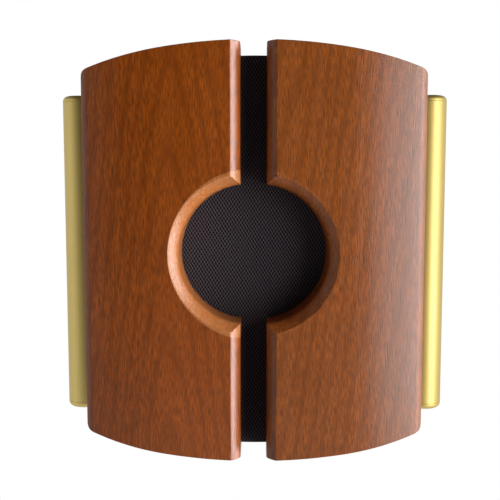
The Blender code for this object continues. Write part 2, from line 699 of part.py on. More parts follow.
def gasket_and_tags(parent):
    gasket = ring_profile(*GASKET_RADII, COVER_INSIDE_Y + GAP, FLANGE_FRONT - GAP)
    add_object("speaker_gasket", turned_mesh(gasket, 36), FOAM, parent)
    strip = box_mesh((-STRIP_HALF, STRIP_HALF), (FLANGE_BACK + GAP, STRIP_BACK), STRIP_Z)
    add_object("speaker_terminal_strip", strip, TAG_BOARD, parent)
    turn = Matrix.Rotation(math.pi, 4, "Z")
    for side, side_name in ((-1, "left"), (1, "right")):
        screw("speaker_screw_" + side_name, 0.0085, 0.0026, parent,
              (side * EAR_X, FLANGE_FRONT - GAP, 0), turn)


def moving_cone(parent):
    """Cone, dust cap and voice coil, which travel along Y."""
    cone = [(CONE_NECK, CONE_BACK), (CONE_NECK + PAPER_THICKNESS, CONE_BACK),
            (CONE_MOUTH, CONE_FRONT + PAPER_THICKNESS), (CONE_MOUTH, CONE_FRONT),
            (CONE_MOUTH - PAPER_THICKNESS, CONE_FRONT), (CONE_NECK, CONE_BACK - PAPER_THICKNESS)]
    add_object("speaker_cone", turned_mesh(cone, 36), PAPER, parent)
    centre = (0, DUST_CAP_CENTRE)
    outer = arc(centre, DUST_CAP_RADIUS, -math.pi / 2, DUST_CAP_EDGE, 4)
    inner = arc(centre, DUST_CAP_RADIUS - SKIN, DUST_CAP_EDGE, -math.pi / 2, 4)
    dome = [(0, outer[0][1])] + outer[1:] + inner[:-1] + [(0, inner[-1][1])]
    add_object("speaker_dust_cap", turned_mesh(dome, 24), PAPER, parent)
    add_object("speaker_voice_coil", turned_mesh(ring_profile(*COIL_RADII, *COIL_Y), 24), COPPER, parent)


def half_roll_profile():
    """Flat lips and a half round between them, bulging towards -Y."""
    inner, outer = ROLL_RADII
    centre = (inner + outer) / 2
    reach = (outer - inner) / 2
    front_y = ROLL_BACK - SKIN
    front = [(inner - ROLL_LIP, front_y)]
    back = [(inner - ROLL_LIP, ROLL_BACK)]
    bends = 4
    for i in range(bends + 1):
        angle = math.pi - math.pi * i / bends
        rise = ROLL_HEIGHT * math.sin(angle)
        front.append((centre + (reach + SKIN / 2) * math.cos(angle), front_y - rise))
        back.append((centre + (reach - SKIN / 2) * math.cos(angle), ROLL_BACK - rise))
    front.append((outer + ROLL_LIP, front_y))
    back.append((outer + ROLL_LIP, ROLL_BACK))
    return front + list(reversed(back))


def suspension(parent):
    """The two flexible rings that carry the cone."""
    add_object("speaker_surround", turned_mesh(half_roll_profile(), 32), FOAM, parent)
    inner, outer = SPIDER_RADII
    steps = 4 * SPIDER_WAVES
    front = []
    for i in range(steps + 1):
        radius = inner + (outer - inner) * i / steps
        front.append((radius, SPIDER_Y + SPIDER_WAVE * math.sin(math.tau * SPIDER_WAVES * i / steps)))
    back = [(radius, y + SKIN) for radius, y in reversed(front)]
    add_object("speaker_spider", turned_mesh(front + back, 24), SPIDER_CLOTH, parent)


# ---------------------------------------------------------------- battery compartment
def battery_tray(parent):
    (left, right), (low, high) = TRAY
    floor_y = TRAY_FLOOR[0]
    tray = add_object("battery_tray", box_mesh((left, right), (TRAY_TOP, TRAY_FLOOR[1]), (low, high)),
                      BLACK_PLASTIC, parent)
    wall = TRAY_WALL
    rib_z = (CELL_UPPER_Z + CELL_LOWER_Z) / 2
    wells = []
    for well_low, well_high in ((low + wall, rib_z - 0.0005), (rib_z + 0.0005, high - wall)):
        wells.append(box_mesh((left + wall, right - wall), (TRAY_TOP - 0.005, floor_y), (well_low, well_high)))
    gate = box_mesh((left + wall, left + wall + 0.0012), (TRAY_TOP - 0.005, floor_y),
                    (CELL_LOWER_Z, CELL_UPPER_Z))
    combine(tray, add_object("tray_wells", joined(wells), None))
    combine(tray, add_object("tray_gate", gate, None))


def dry_cell(name, nub_side, x, z, parent):
    """Cylindrical cell lying along X with its nub towards nub_side."""
    end = CELL_LENGTH / 2
    shoulder = end - CELL_NUB
    rim = CELL_RADIUS - 0.001
    profile = [(0, -end), (rim, -end), (CELL_RADIUS, -end + CELL_CRIMP), (CELL_RADIUS, shoulder - CELL_CRIMP),
               (rim, shoulder), (CELL_NUB_RADIUS, shoulder), (CELL_NUB_RADIUS - GAP, end), (0, end)]
    bm = turned_mesh(profile, 28, "X")
    if nub_side < 0:
        bmesh.ops.transform(bm, matrix=Matrix.Rotation(math.pi, 4, "Z"), verts=bm.verts)
    add_object(name, bm, CELL_JACKET, parent, (x, CELL_Y, z))


def helix(turns, per_turn, place):
    """Points of a coil.  The function place gives one from the share of the way along and the angle."""
    count = turns * per_turn
    return [place(i / count, math.tau * turns * i / count) for i in range(count + 1)]


def cone_spring(name, wide_x, narrow_x, z, parent):
    """Tapered contact spring, lying along X."""
    wide, narrow = SPRING_RADII

    def point(share, angle):
        radius = wide + (narrow - wide) * share
        return (wide_x + (narrow_x - wide_x) * share, CELL_Y + radius * math.cos(angle),
                z + radius * math.sin(angle))

    wire_object(name, helix(SPRING_TURNS, 10, point), SPRING_WIRE, STEEL, parent)


def battery_parts(parent):
    battery_tray(parent)
    left = TRAY[0][0] + TRAY_WALL + GAP
    right = TRAY[0][1] - TRAY_WALL - GAP
    depth = (CONTACT_TOP, TRAY_FLOOR[0] - GAP)
    link_face = left + CONTACT_THICKNESS
    contact_face = right - CONTACT_THICKNESS
    link = box_mesh((left, link_face), depth, (CELL_LOWER_Z - CONTACT_HALF, CELL_UPPER_Z + CONTACT_HALF))
    add_object("battery_link_plate", link, STEEL, parent)
    for name, z in (("battery_contact_upper", CELL_UPPER_Z), ("battery_contact_lower", CELL_LOWER_Z)):
        contact = box_mesh((contact_face, right), depth, (z - CONTACT_HALF, z + CONTACT_HALF))
        add_object(name, contact, STEEL, parent)
    reach = CELL_LENGTH / 2 + GAP
    dry_cell("battery_cell_upper", -1, link_face + reach, CELL_UPPER_Z, parent)
    dry_cell("battery_cell_lower", 1, contact_face - reach, CELL_LOWER_Z, parent)
    wire_gap = GAP + SPRING_WIRE
    cone_spring("battery_spring_upper", contact_face - wire_gap,
                link_face + GAP + CELL_LENGTH + wire_gap, CELL_UPPER_Z, parent)
    cone_spring("battery_spring_lower", link_face + wire_gap,
                contact_face - GAP - CELL_LENGTH - wire_gap, CELL_LOWER_Z, parent)


# ---------------------------------------------------------------- electronics and controls
def main_board(parent):
    add_object("main_board", box_mesh(MAIN_BOARD[0], (BOARD_FRONT, BOARD_BACK), MAIN_BOARD[1]), BOARD_GREEN,
               parent)
    add_object("melody_chip", box_mesh(CHIP[0], (ON_BOARD - CHIP_HEIGHT, ON_BOARD), CHIP[1]), BLACK_PLASTIC,
               parent)
    top = ON_BOARD - CAPACITOR_HEIGHT
    can = [(0, top), (CAPACITOR_RADIUS - 0.0006, top), (CAPACITOR_RADIUS, top + 0.0005),
           (CAPACITOR_RADIUS, ON_BOARD), (0, ON_BOARD)]
    add_object("filter_capacitor", turned_mesh(can, 24), GREY_PLASTIC, parent,
               (CAPACITOR_AT[0], 0, CAPACITOR_AT[1]))


def receiver(parent):
    add_object("receiver_board", box_mesh(RECEIVER_BOARD[0], (BOARD_FRONT, BOARD_BACK), RECEIVER_BOARD[1]),
               BOARD_GREEN, parent)
    axis_y = ON_BOARD - AERIAL_RADIUS - 0.0006

    def point(share, angle):
        return (AERIAL_START + AERIAL_LENGTH * share, axis_y + AERIAL_RADIUS * math.cos(angle),
                AERIAL_Z + AERIAL_RADIUS * math.sin(angle))

    wire_object("antenna_coil", helix(AERIAL_TURNS, 8, point), AERIAL_WIRE, COPPER, parent)


def volume_control(parent, wheel_parent):
    top = ON_BOARD - POT_HEIGHT
    pot = [(0, SHAFT_TIP), (SHAFT_RADIUS, SHAFT_TIP), (SHAFT_RADIUS, top), (POT_RADIUS, top),
           (POT_RADIUS, ON_BOARD), (0, ON_BOARD)]
    add_object("volume_potentiometer", turned_mesh(pot, 24), GREY_PLASTIC, parent,
               (WHEEL_AT[0], 0, WHEEL_AT[2]))
    points = []
    for i in range(WHEEL_RIBS * 2):
        angle = math.tau * i / (WHEEL_RIBS * 2)
        radius = WHEEL_RADIUS - (0.0005 if i % 2 else 0)
        points.append((radius * math.cos(angle), radius * math.sin(angle)))
    wheel = add_object("volume_wheel", prism_mesh(points, -WHEEL_THICKNESS / 2, WHEEL_THICKNESS / 2),
                       BLACK_PLASTIC, wheel_parent, WHEEL_AT)
    bore = turned_mesh(rod_profile(SHAFT_RADIUS + GAP, -WHEEL_THICKNESS, WHEEL_THICKNESS), 20)
    combine(wheel, add_object("volume_wheel_bore", bore, None, wheel_parent, WHEEL_AT))


def tune_selector(parent, knob_parent):
    x, y, low = TUNE_AT
    half_width, half_depth = TUNE_KNOB
    body = add_object("tune_switch_body", box_mesh((x - 0.0055, x + 0.0055), (y - 0.0022, ON_BOARD),
                                                   (low, low + 0.0062)), GREY_PLASTIC, parent)
    half_slot = half_width + TUNE_TRAVEL + GAP
    slot_depth = half_depth + GAP
    slot = box_mesh((x - half_slot, x + half_slot), (y - slot_depth, y + slot_depth),
                    (low - 0.001, low + 0.0037))
    combine(body, add_object("tune_switch_slot", slot, None))
    knob = box_mesh((-half_width, half_width), (-half_depth, half_depth), (-0.0090, 0.0034))
    add_object("tune_switch_knob", knob, BLACK_PLASTIC, knob_parent, TUNE_AT)


def learn_control(parent, button_parent):
    x, y, tip = LEARN_AT
    add_object("learn_switch_body", box_mesh((x - 0.003, x + 0.003), (y - 0.0022, ON_BOARD),
                                             (SWITCH_LOW, SWITCH_LOW + 0.004)), GREY_PLASTIC, parent)
    length = LEARN_BACK - tip
    ease = 0.0005
    profile = [(0, 0), (LEARN_RADIUS - ease, 0), (LEARN_RADIUS, ease), (LEARN_RADIUS, length), (0, length)]
    add_object("learn_button", turned_mesh(profile, 20, "Z"), BUTTON_RED, button_parent, LEARN_AT)


def leads(parent):
    """Wires that run between the fixed pieces."""
    over_board = ON_BOARD - 0.0008
    near_plate = -0.0068
    contact_x = TRAY[0][1] - TRAY_WALL
    for name, z, finish in (("battery_lead_red", CELL_LOWER_Z, RED_WIRE),
                            ("battery_lead_black", CELL_UPPER_Z - 0.004, BLACK_WIRE)):
        route = [(contact_x + 0.0001, -0.0172, z), (-0.0105, -0.0168, z), (-0.0065, -0.0120, z),
                 (0.0000, -0.0082, z), (0.0080, over_board, z)]
        wire_object(name, route, LEAD_RADIUS, finish, parent, 3)
    for name, x, finish in (("speaker_lead_red", -0.003, RED_WIRE),
                            ("speaker_lead_black", 0.003, BLACK_WIRE)):
        route = [(x, -0.0250, -0.0272), (x + 0.0005, -0.0244, -0.0300), (x + 0.004, -0.0190, -0.0365),
                 (x + 0.009, -0.0110, -0.0425), (x + 0.012, over_board, -0.0490)]
        wire_object(name, route, LEAD_RADIUS, finish, parent, 3)
    route = [(0.0250, over_board, 0.0500), (0.0330, over_board, 0.0440), (0.0420, near_plate, 0.0300),
             (0.0450, near_plate, 0.0000), (0.0430, near_plate, -0.0250), (0.0370, over_board, -0.0380),
             (0.0300, over_board, -0.0470)]
    wire_object("receiver_lead", route, RECEIVER_LEAD_RADIUS, GREY_WIRE, parent, 3)


# ---------------------------------------------------------------- assembly
def build():
    clear_scene()
    base = add_empty("base_body")
    cover = add_empty("front_cover_body")
    cone = add_empty("speaker_cone_body")

    for side, name in ((-1, "wood_front_left"), (1, "wood_front_right")):
        wood_half(side, name, cover)
    grille_cloth(cover)
    cover_shell(cover)
    tubes(cover)
    front_screws(cover)

    base_plate(base)
    speaker_frame(base)
    magnet_system(base)
    gasket_and_tags(base)
    moving_cone(cone)
    suspension(base)
    battery_parts(base)
    main_board(base)
    receiver(base)
    volume_control(base, None)
    tune_selector(base, None)
    learn_control(base, None)
    leads(base)


build()
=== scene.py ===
"""Looks of the wall-hung door chime: stained wooden front, brass tubes, grille cloth and the works.

Metres, +Z up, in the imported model's own frame: the wall is the plane y = 0 and the front looks along -Y.
"""
import json
import math

import bmesh
import bpy
from mathutils import Matrix, Vector

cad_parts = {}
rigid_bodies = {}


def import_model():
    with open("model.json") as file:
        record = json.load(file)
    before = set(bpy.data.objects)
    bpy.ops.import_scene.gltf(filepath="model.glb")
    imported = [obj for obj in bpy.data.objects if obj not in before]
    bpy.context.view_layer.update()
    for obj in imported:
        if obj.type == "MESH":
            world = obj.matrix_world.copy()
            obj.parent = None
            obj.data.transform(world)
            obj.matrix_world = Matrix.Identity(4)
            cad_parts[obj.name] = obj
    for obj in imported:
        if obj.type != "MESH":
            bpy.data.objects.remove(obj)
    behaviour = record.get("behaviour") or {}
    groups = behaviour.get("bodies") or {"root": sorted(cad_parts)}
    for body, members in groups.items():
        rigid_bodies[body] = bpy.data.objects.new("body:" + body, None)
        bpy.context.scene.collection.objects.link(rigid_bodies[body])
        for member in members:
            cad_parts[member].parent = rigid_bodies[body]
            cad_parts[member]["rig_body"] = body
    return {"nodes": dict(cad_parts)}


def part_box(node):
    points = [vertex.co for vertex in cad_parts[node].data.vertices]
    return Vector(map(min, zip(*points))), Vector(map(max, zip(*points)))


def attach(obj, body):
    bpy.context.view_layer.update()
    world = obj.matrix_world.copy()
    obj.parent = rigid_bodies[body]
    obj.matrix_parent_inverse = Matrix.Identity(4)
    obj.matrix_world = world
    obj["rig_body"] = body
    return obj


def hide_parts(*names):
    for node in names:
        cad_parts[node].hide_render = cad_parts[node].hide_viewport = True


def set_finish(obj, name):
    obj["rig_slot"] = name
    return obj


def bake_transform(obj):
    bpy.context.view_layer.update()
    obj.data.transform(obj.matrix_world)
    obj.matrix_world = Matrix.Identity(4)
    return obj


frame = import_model()
for stray in list(bpy.data.objects):
    if stray.name not in frame["nodes"] and not stray.name.startswith("body:"):
        bpy.data.objects.remove(stray, do_unlink=True)
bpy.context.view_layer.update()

# ---------------- dimensions of the wooden front
WOOD_LOW, WOOD_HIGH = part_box("wood_front_right")
FRONT_Y = WOOD_LOW.y
WOOD_BACK_Y = WOOD_HIGH.y
SLOT_HALF = WOOD_LOW.x
WOOD_HALF = WOOD_HIGH.x
WOOD_TOP = WOOD_HIGH.z
ARCH_RADIUS = 0.285
WOOD_CORNER = 0.0045
FLAT_HALF = 0.045
BOW_RADIUS = 0.110
OPENING_RADIUS = 0.0353
OPENING_OFFSET = 0.0026
MOULDING_WIDTH = 0.0048
BEVEL_WIDTH = 0.0040
BEVEL_START = math.radians(33)
BEVEL_END = math.radians(52)
OUTER_CREASE = 0.0832
OUTER_START = math.radians(38)
EDGE_RADIUS = 0.00035           # softened arrises
PILOT_RADIUS = 0.0017
PILOT_DEPTH = 0.013
BEYOND = 0.002                  # a cutter sticks out this far
FRONT_SCREW_AT = (0.062, 0.070)


# ---------------- mesh helpers
def linked(name, data):
    """New object in the scene."""
    item = bpy.data.objects.new(name, data)
    bpy.context.scene.collection.objects.link(item)
    return item


def from_bmesh(name, bm, material=None):
    bmesh.ops.recalc_face_normals(bm, faces=bm.faces)
    mesh = bpy.data.meshes.new(name)
    bm.to_mesh(mesh)
    bm.free()
    if material:
        mesh.materials.append(material)
    return linked(name, mesh)


def smooth(item, angle):
    """Smooth shading, sharp only where faces meet at more than the angle, with flat faces kept flat."""
    item.data.shade_smooth()
    item.data.set_sharp_from_angle(angle=math.radians(angle))
    weighted = item.modifiers.new("normals", "WEIGHTED_NORMAL")
    weighted.keep_sharp = True


def place(item, node=None, slot="zinc_steel"):
    """Puts a piece on its CAD node's body, in its slot and in its place, or on the base without one."""
    source = frame["nodes"].get(node)
    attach(item, source["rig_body"] if source else "base")
    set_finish(item, source.data.materials[0].name if source else slot)
    if source:
        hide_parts(node)
    return item


def cut(item, bm, operation="DIFFERENCE"):
    """Cuts the mesh out of the piece at once, or joins or crosses the two."""
    tool = from_bmesh("tool", bm)
    step = item.modifiers.new("cut", "BOOLEAN")
    step.operation = operation
    step.solver = "EXACT"
    step.object = tool
    graph = bpy.context.evaluated_depsgraph_get()
    mesh = bpy.data.meshes.new_from_object(item.evaluated_get(graph))
    item.modifiers.clear()
    item.data = mesh
    bpy.data.objects.remove(tool, do_unlink=True)


def soften(item, width, segments):
    """Rounds the sharp edges, as a modifier."""
    step = item.modifiers.new("soft edges", "BEVEL")
    step.width = width
    step.segments = segments
    step.limit_method = "ANGLE"
    step.angle_limit = math.radians(30)


def bevel_edges(item, width, segments, angle, wanted):
    """Rounds the edges sharper than the angle that the test picks."""
    bm = bmesh.new()
    bm.from_mesh(item.data)
    bmesh.ops.remove_doubles(bm, verts=bm.verts, dist=2e-6)
    limit = math.radians(angle)
    picked = [edge for edge in bm.edges
              if len(edge.link_faces) == 2 and edge.calc_face_angle(0.0) > limit and wanted(edge)]
    bmesh.ops.bevel(bm, geom=picked, offset=width, offset_type="OFFSET", segments=segments, profile=0.5,
                    affect="EDGES", clamp_overlap=False)
    bm.to_mesh(item.data)
    bm.free()


def loft(rings):
    """Closed mesh through rings of points, capped at both ends."""
    bm = bmesh.new()
    rings = [[bm.verts.new(point) for point in ring] for ring in rings]
    for here, there in zip(rings, rings[1:]):
        for k in range(len(here)):
            bm.faces.new((here[k - 1], here[k], there[k], there[k - 1]))
    bm.faces.new(rings[0])
    bm.faces.new(rings[-1])
    return bm


def prism(outline, start, end, axis="Y"):
    """Closed prism.  The outline lies across the axis: (x, z) for Y, (x, y) for Z and (y, z) for X."""
    order = {"X": (2, 0, 1), "Y": (0, 2, 1), "Z": (0, 1, 2)}[axis]
    return loft([[[(a, b, along)[k] for k in order] for a, b in outline] for along in (start, end)])


def rectangle(low_a, high_a, low_b, high_b):
    return [(low_a, low_b), (high_a, low_b), (high_a, high_b), (low_a, high_b)]


def box(low, high):
    return prism(rectangle(low[0], high[0], low[2], high[2]), low[1], high[1])


def turned(profile, steps, axis="Y", centre=(0, 0, 0)):
    """Solid of revolution from (radius, along) points.  A profile clear of the axis closes into a ring."""
    bm = bmesh.new()
    verts = [bm.verts.new((radius, along, 0)) for radius, along in profile]
    pairs = list(zip(verts, verts[1:]))
    if profile[0][0] > 0:
        pairs.append((verts[-1], verts[0]))
    edges = [bm.edges.new(pair) for pair in pairs]
    bmesh.ops.spin(bm, geom=verts + edges, cent=(0, 0, 0), axis=(0, 1, 0), angle=math.tau, steps=steps)
    bmesh.ops.remove_doubles(bm, verts=bm.verts, dist=1e-6)
    turn = {
        "X": Matrix.Rotation(-math.pi / 2, 4, "Z"),
        "Y": Matrix.Identity(4),
        "Z": Matrix.Rotation(math.pi / 2, 4, "X"),
    }[axis]
    bmesh.ops.transform(bm, matrix=Matrix.Translation(centre) @ turn, verts=bm.verts)
    return bm


def joined(meshes):
    """One mesh made of several."""
    whole = bmesh.new()
    for part in meshes:
        scratch = bpy.data.meshes.new("scratch")
        part.to_mesh(scratch)
        part.free()
        whole.from_mesh(scratch)
        bpy.data.meshes.remove(scratch)
    return whole


def shares(steps):
    """Even steps from 0 to 1."""
    return [i / steps for i in range(steps + 1)]


def arc(centre, radius, start, end, steps):
    a, b = centre
    angles = [start + (end - start) * share for share in shares(steps)]
    return [(a + radius * math.cos(angle), b + radius * math.sin(angle)) for angle in angles]


def solid(name, bm, material, node=None, slot="zinc_steel", cuts=(), width=0.0, segments=2, angle=32):
    """Closed mesh, less the cuts, with edges softened over the width and smooth round faces."""
    item = from_bmesh(name, bm, material)
    for cutter in cuts:
        cut(item, cutter)
    if width:
        soften(item, width, segments)
    smooth(item, angle)
    return place(item, node, slot)


def crisp(name, bm, material, node, cuts, width, wanted=lambda edge: True):
    """Closed mesh, less the cuts, with a narrow round on the edges that the test picks."""
    item = from_bmesh(name, bm, material)
    for cutter in cuts:
        cut(item, cutter)
    bevel_edges(item, width, 2, 60, wanted)
    smooth(item, 32)
    place(item, node)


def fine_copy(node, name, material, width=0.0003, segments=2, cuts=()):
    """The CAD node's own shape, less any extra shallow cuts, with softened edges and smooth round faces."""
    bm = bmesh.new()
    bm.from_mesh(frame["nodes"][node].data)
    bmesh.ops.remove_doubles(bm, verts=bm.verts, dist=2e-6)
    bmesh.ops.dissolve_limit(bm, angle_limit=math.radians(0.5), verts=bm.verts, edges=bm.edges)
    return solid(name, bm, material, node, cuts=cuts, width=width, segments=segments, angle=30)


# ---------------- shared shapes
def eased(profile, reach, steps=3, closed=False):
    """The profile with its corners rounded off, this far along each side of a corner."""
    points = []
    last = len(profile) - 1
    for i, corner in enumerate(profile):
        if not closed and i in (0, last):
            points.append(corner)
            continue
        here = Vector(corner)
        before = Vector(profile[i - 1]) - here
        after = Vector(profile[(i + 1) % (last + 1)]) - here
        limit = min(reach, 0.45 * before.length, 0.45 * after.length)
        start = here + before.normalized() * limit
        end = here + after.normalized() * limit
        for t in shares(steps):
            point = (1 - t) ** 2 * start + 2 * t * (1 - t) * here + t * t * end
            points.append((point.x, point.y))
    return points


def rod(radius, start, end):
    return [(0, start), (radius, start), (radius, end), (0, end)]


def ring(inner, outer, start, end):
    return [(inner, start), (outer, start), (outer, end), (inner, end)]


def spun(name, profile, material, node=None, axis="Y", centre=(0, 0, 0), steps=96):
    return solid(name, turned(profile, steps, axis, centre), material, node, angle=40)


def round_wire(name, points, radius, material, node):
    """Round wire on a smooth curve through the points."""
    curve = bpy.data.curves.new(name, "CURVE")
    curve.dimensions = "3D"
    curve.bevel_depth = radius
    curve.bevel_resolution = 4
    curve.use_fill_caps = True
    spline = curve.splines.new("POLY")
    spline.points.add(len(points) - 1)
    for target, point in zip(spline.points, points):
        target.co = (*point, 1.0)
    spline.use_smooth = True
    curve.materials.append(material)
    place(linked(name, curve), node)


def smooth_route(points):
    """Catmull-Rom curve through the points."""
    knots = [Vector(p) for p in points]
    knots = [2 * knots[0] - knots[1]] + knots + [2 * knots[-1] - knots[-2]]
    route = []
    for a, b, c, d in zip(knots, knots[1:], knots[2:], knots[3:]):
        for t in shares(8)[:-1]:
            route.append(0.5 * (2 * b + (c - a) * t + (2 * a - 5 * b + 4 * c - d) * t * t
                                + (3 * b - a - 3 * c + d) * t ** 3))
    route.append(knots[-2])
    return route


def extent(node):
    """Low corner, high corner, middle and half size of a CAD node."""
    low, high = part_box(node)
    return low, high, (low + high) / 2, (high - low) / 2


# ---------------- material helpers
class Nodes:
    """Short way to lay out the nodes of a material or a world."""

    def __init__(self, owner):
        owner.use_nodes = True
        self.owner = owner
        self.tree = owner.node_tree

    def add(self, kind, inputs=None, **settings):
        node = self.tree.nodes.new(kind)
        for key, value in settings.items():
            setattr(node, key, value)
        for key, value in (inputs or {}).items():
            self.set(node.inputs[key], value)
        return node

    def set(self, socket, value):
        if isinstance(value, bpy.types.NodeSocket):
            self.tree.links.new(value, socket)
        else:
            socket.default_value = value

    def principled(self, colour, roughness, normal, **values):
        """Sets the shader's inputs and gives the finished material."""
        values.update(Base_Color=colour, Roughness=roughness, Normal=normal)
        for key, value in values.items():
            self.set(self.tree.nodes["Principled BSDF"].inputs[key.replace("_", " ")], value)
        return self.owner

    def place(self, scale=(1, 1, 1), location=(0, 0, 0)):
        """Place on the object, stretched and shifted."""
        inputs = {"Vector": self.add("ShaderNodeTexCoord").outputs["Object"], "Scale": scale,
                  "Location": location}
        return self.add("ShaderNodeMapping", inputs).outputs["Vector"]

    def xyz(self):
        """Place on the object, as three values."""
        return self.add("ShaderNodeSeparateXYZ", {"Vector": self.place()}).outputs

    def noise(self, scale, vector=None, detail=3.0, roughness=0.5, distortion=0.0):
        inputs = {"Vector": vector or self.place(), "Scale": scale, "Detail": detail,
                  "Roughness": roughness, "Distortion": distortion}
        return self.add("ShaderNodeTexNoise", inputs).outputs["Fac"]

    def math(self, operation, a, b=0.0, c=0.0):
        node = self.add("ShaderNodeMath", operation=operation)
        for socket, value in zip(node.inputs, (a, b, c)):
            self.set(socket, value)
        return node.outputs[0]

    def plus(self, a, b):
        return self.math("ADD", a, b)

    def minus(self, a, b):
        return self.math("SUBTRACT", a, b)

    def times(self, a, b):
        return self.math("MULTIPLY", a, b)

    def wave(self, value, pitch):
        return self.math("SINE", self.times(value, math.tau / pitch))

    def distance(self, a, b):
        return self.math("SQRT", self.plus(self.times(a, a), self.times(b, b)))

    def remap(self, value, low, high, to_low=0.0, to_high=1.0, kind="LINEAR"):
        inputs = {"Value": value, "From Min": low, "From Max": high, "To Min": to_low, "To Max": to_high}
        return self.add("ShaderNodeMapRange", inputs, interpolation_type=kind).outputs["Result"]

    def spread(self, noise, to_low=0.0, to_high=1.0):
        """Most of a noise lies between 0.3 and 0.7."""
        return self.remap(noise, 0.3, 0.7, to_low, to_high)

    def mix(self, factor, a, b, blend="MIX"):
        a, b = (side if isinstance(side, bpy.types.NodeSocket) else (*side, 1.0) for side in (a, b))
        inputs = {"Factor": factor, 6: a, 7: b}
        return self.add("ShaderNodeMix", inputs, data_type="RGBA", blend_type=blend).outputs[2]

    def bump(self, height, distance, strength):
        inputs = {"Height": height, "Distance": distance, "Strength": strength}
        return self.add("ShaderNodeBump", inputs).outputs["Normal"]


def material(name):
    return Nodes(bpy.data.materials.new(name))


def toned(colour, factor):
    return [factor * c for c in colour]


# ---------------- wood
RING_PITCH = 0.0070
LOG_CENTRE_Y = -0.066
LOG_SLANT = 0.15                # the log leans back by this much a metre
LOG_WANDER = 0.022
# Pale tint for painted light on the left half's round moulding.
PAINTED_MOULDING_LIGHT = (0.52, 0.22, 0.075)


def wood_material(name, seed, heart, warm, deep, outer_light_and_shade, moulding_light):
    """Stained, satin-lacquered wood: growth rings, fibre streaks and short dark pores along the grain, with
    painted light and shade towards the outer side and a painted highlight on the moulding.
    """
    n = material(name)
    x, y, z = n.xyz()

    # Growth rings: a slanted log centre makes tall arches in the figure.
    board = n.noise(30, n.place(scale=(1, 1, 0.10), location=(seed, seed, seed)))
    across = n.plus(n.minus(x, heart[0]), n.times(n.minus(board, 0.5), LOG_WANDER))
    depth = n.minus(y, LOG_CENTRE_Y)
    rise = n.times(n.minus(z, heart[1]), LOG_SLANT)
    rings = n.remap(n.wave(n.plus(n.distance(across, depth), rise), RING_PITCH), 0.1, 1.0)

    mottle = n.noise(40, n.place(location=(seed, seed * 0.7, 0)), detail=4.0)
    bands = n.noise(210, n.place(scale=(1, 1, 0.030), location=(seed * 1.3, 0, seed)))
    fibres = n.noise(1900, n.place(scale=(1, 1, 0.11), location=(seed * 0.4, 0, seed)), detail=1.0)
    pores = n.noise(2000, n.place(scale=(1, 1, 0.09), location=(0, seed * 2.1, 0)), detail=1.0)
    pores = n.remap(pores, 0.58, 0.70)

    colour = n.mix(n.remap(mottle, 0.25, 0.75), warm, deep)
    colour = n.mix(n.times(rings, 0.46), colour, toned(deep, 0.50))
    colour = n.mix(n.remap(bands, 0.36, 0.66, 0.0, 0.15), colour, toned(warm, 1.35))
    colour = n.mix(n.remap(fibres, 0.38, 0.64, 0.0, 0.85), colour, toned(deep, 0.58))
    colour = n.mix(n.times(pores, 0.48), colour, toned(deep, 0.30))

    # Painted light and shade towards the outer side: the colour is darkened there on the right half (painted
    # shade) and lightened on the left half (painted light).
    outward = n.math("ABSOLUTE", x)
    painted_outer_colour = n.mix(1.0, colour, (outer_light_and_shade, outer_light_and_shade, outer_light_and_shade), "MULTIPLY")
    colour = n.mix(n.remap(outward, 0.052, 0.076), colour, painted_outer_colour)

    # The round moulding cuts across the grain, so wavy end grain shows on it. A pale tint is also laid on
    # the moulding as painted light, on the left half only.
    crossing = n.math("LESS_THAN", n.distance(x, z), OPENING_RADIUS + MOULDING_WIDTH + OPENING_OFFSET)
    colour = n.mix(n.times(crossing, moulding_light), colour, PAINTED_MOULDING_LIGHT)
    figure = n.noise(190, n.place(scale=(1, 1, 0.6)), distortion=0.8)
    waves = n.math("SINE", n.times(figure, 48.0))
    ripple = n.times(n.remap(waves, -0.2, 0.9), crossing)
    colour = n.mix(n.times(ripple, 0.55), colour, warm)

    height = n.minus(n.minus(n.times(fibres, 0.35), n.times(pores, 0.8)), n.times(ripple, 2.0))
    beyond_crease = n.remap(outward, OUTER_CREASE - 0.0012, OUTER_CREASE, 0.0, 0.25)
    rough = n.plus(n.spread(bands, 0.27, 0.35), beyond_crease)
    return n.principled(colour, rough, n.bump(height, 0.00005, 0.5))


def curved_face(start, end, width, steps):
    """Rounded face between two slopes, as (across, depth) steps from its front edge."""
    radius = width / (math.sin(end) - math.sin(start))
    centre = (-radius * math.cos(start), -radius * math.sin(start))
    return [(across, -depth) for depth, across in arc(centre, radius, start, end, steps)]


def moulding():
    """Edge along the slot and the opening: a broad, slightly rounded bevel, then a small round."""
    steps = 6
    bevel = curved_face(BEVEL_START, BEVEL_END, BEVEL_WIDTH, steps)
    across, depth = bevel[-1]
    ease = curved_face(BEVEL_END, math.pi / 2, MOULDING_WIDTH - BEVEL_WIDTH, steps)
    return bevel + [(across + a, depth + d) for a, d in ease[1:]]


def bow_depth(x):
    """How far the bowed front lies behind its flat middle at this distance from the middle line."""
    return BOW_RADIUS - math.sqrt(BOW_RADIUS ** 2 - max(x - FLAT_HALF, 0.0) ** 2)


def wood_section():
    """Horizontal section of the right half, as (x, y)."""
    inner = [(SLOT_HALF + MOULDING_WIDTH - across, FRONT_Y + depth) for across, depth in moulding()]
    across_bow = [FLAT_HALF + (OUTER_CREASE - FLAT_HALF) * share for share in shares(28)]
    bow = [(x, FRONT_Y + bow_depth(x)) for x in across_bow]
    outer = [(OUTER_CREASE + across, bow[-1][1] + depth)
             for across, depth in curved_face(OUTER_START, math.pi / 2, WOOD_HALF - OUTER_CREASE, 10)]
    back = [(WOOD_HALF, WOOD_BACK_Y), (SLOT_HALF, WOOD_BACK_Y)]
    return inner[::-1] + bow + outer[1:] + back


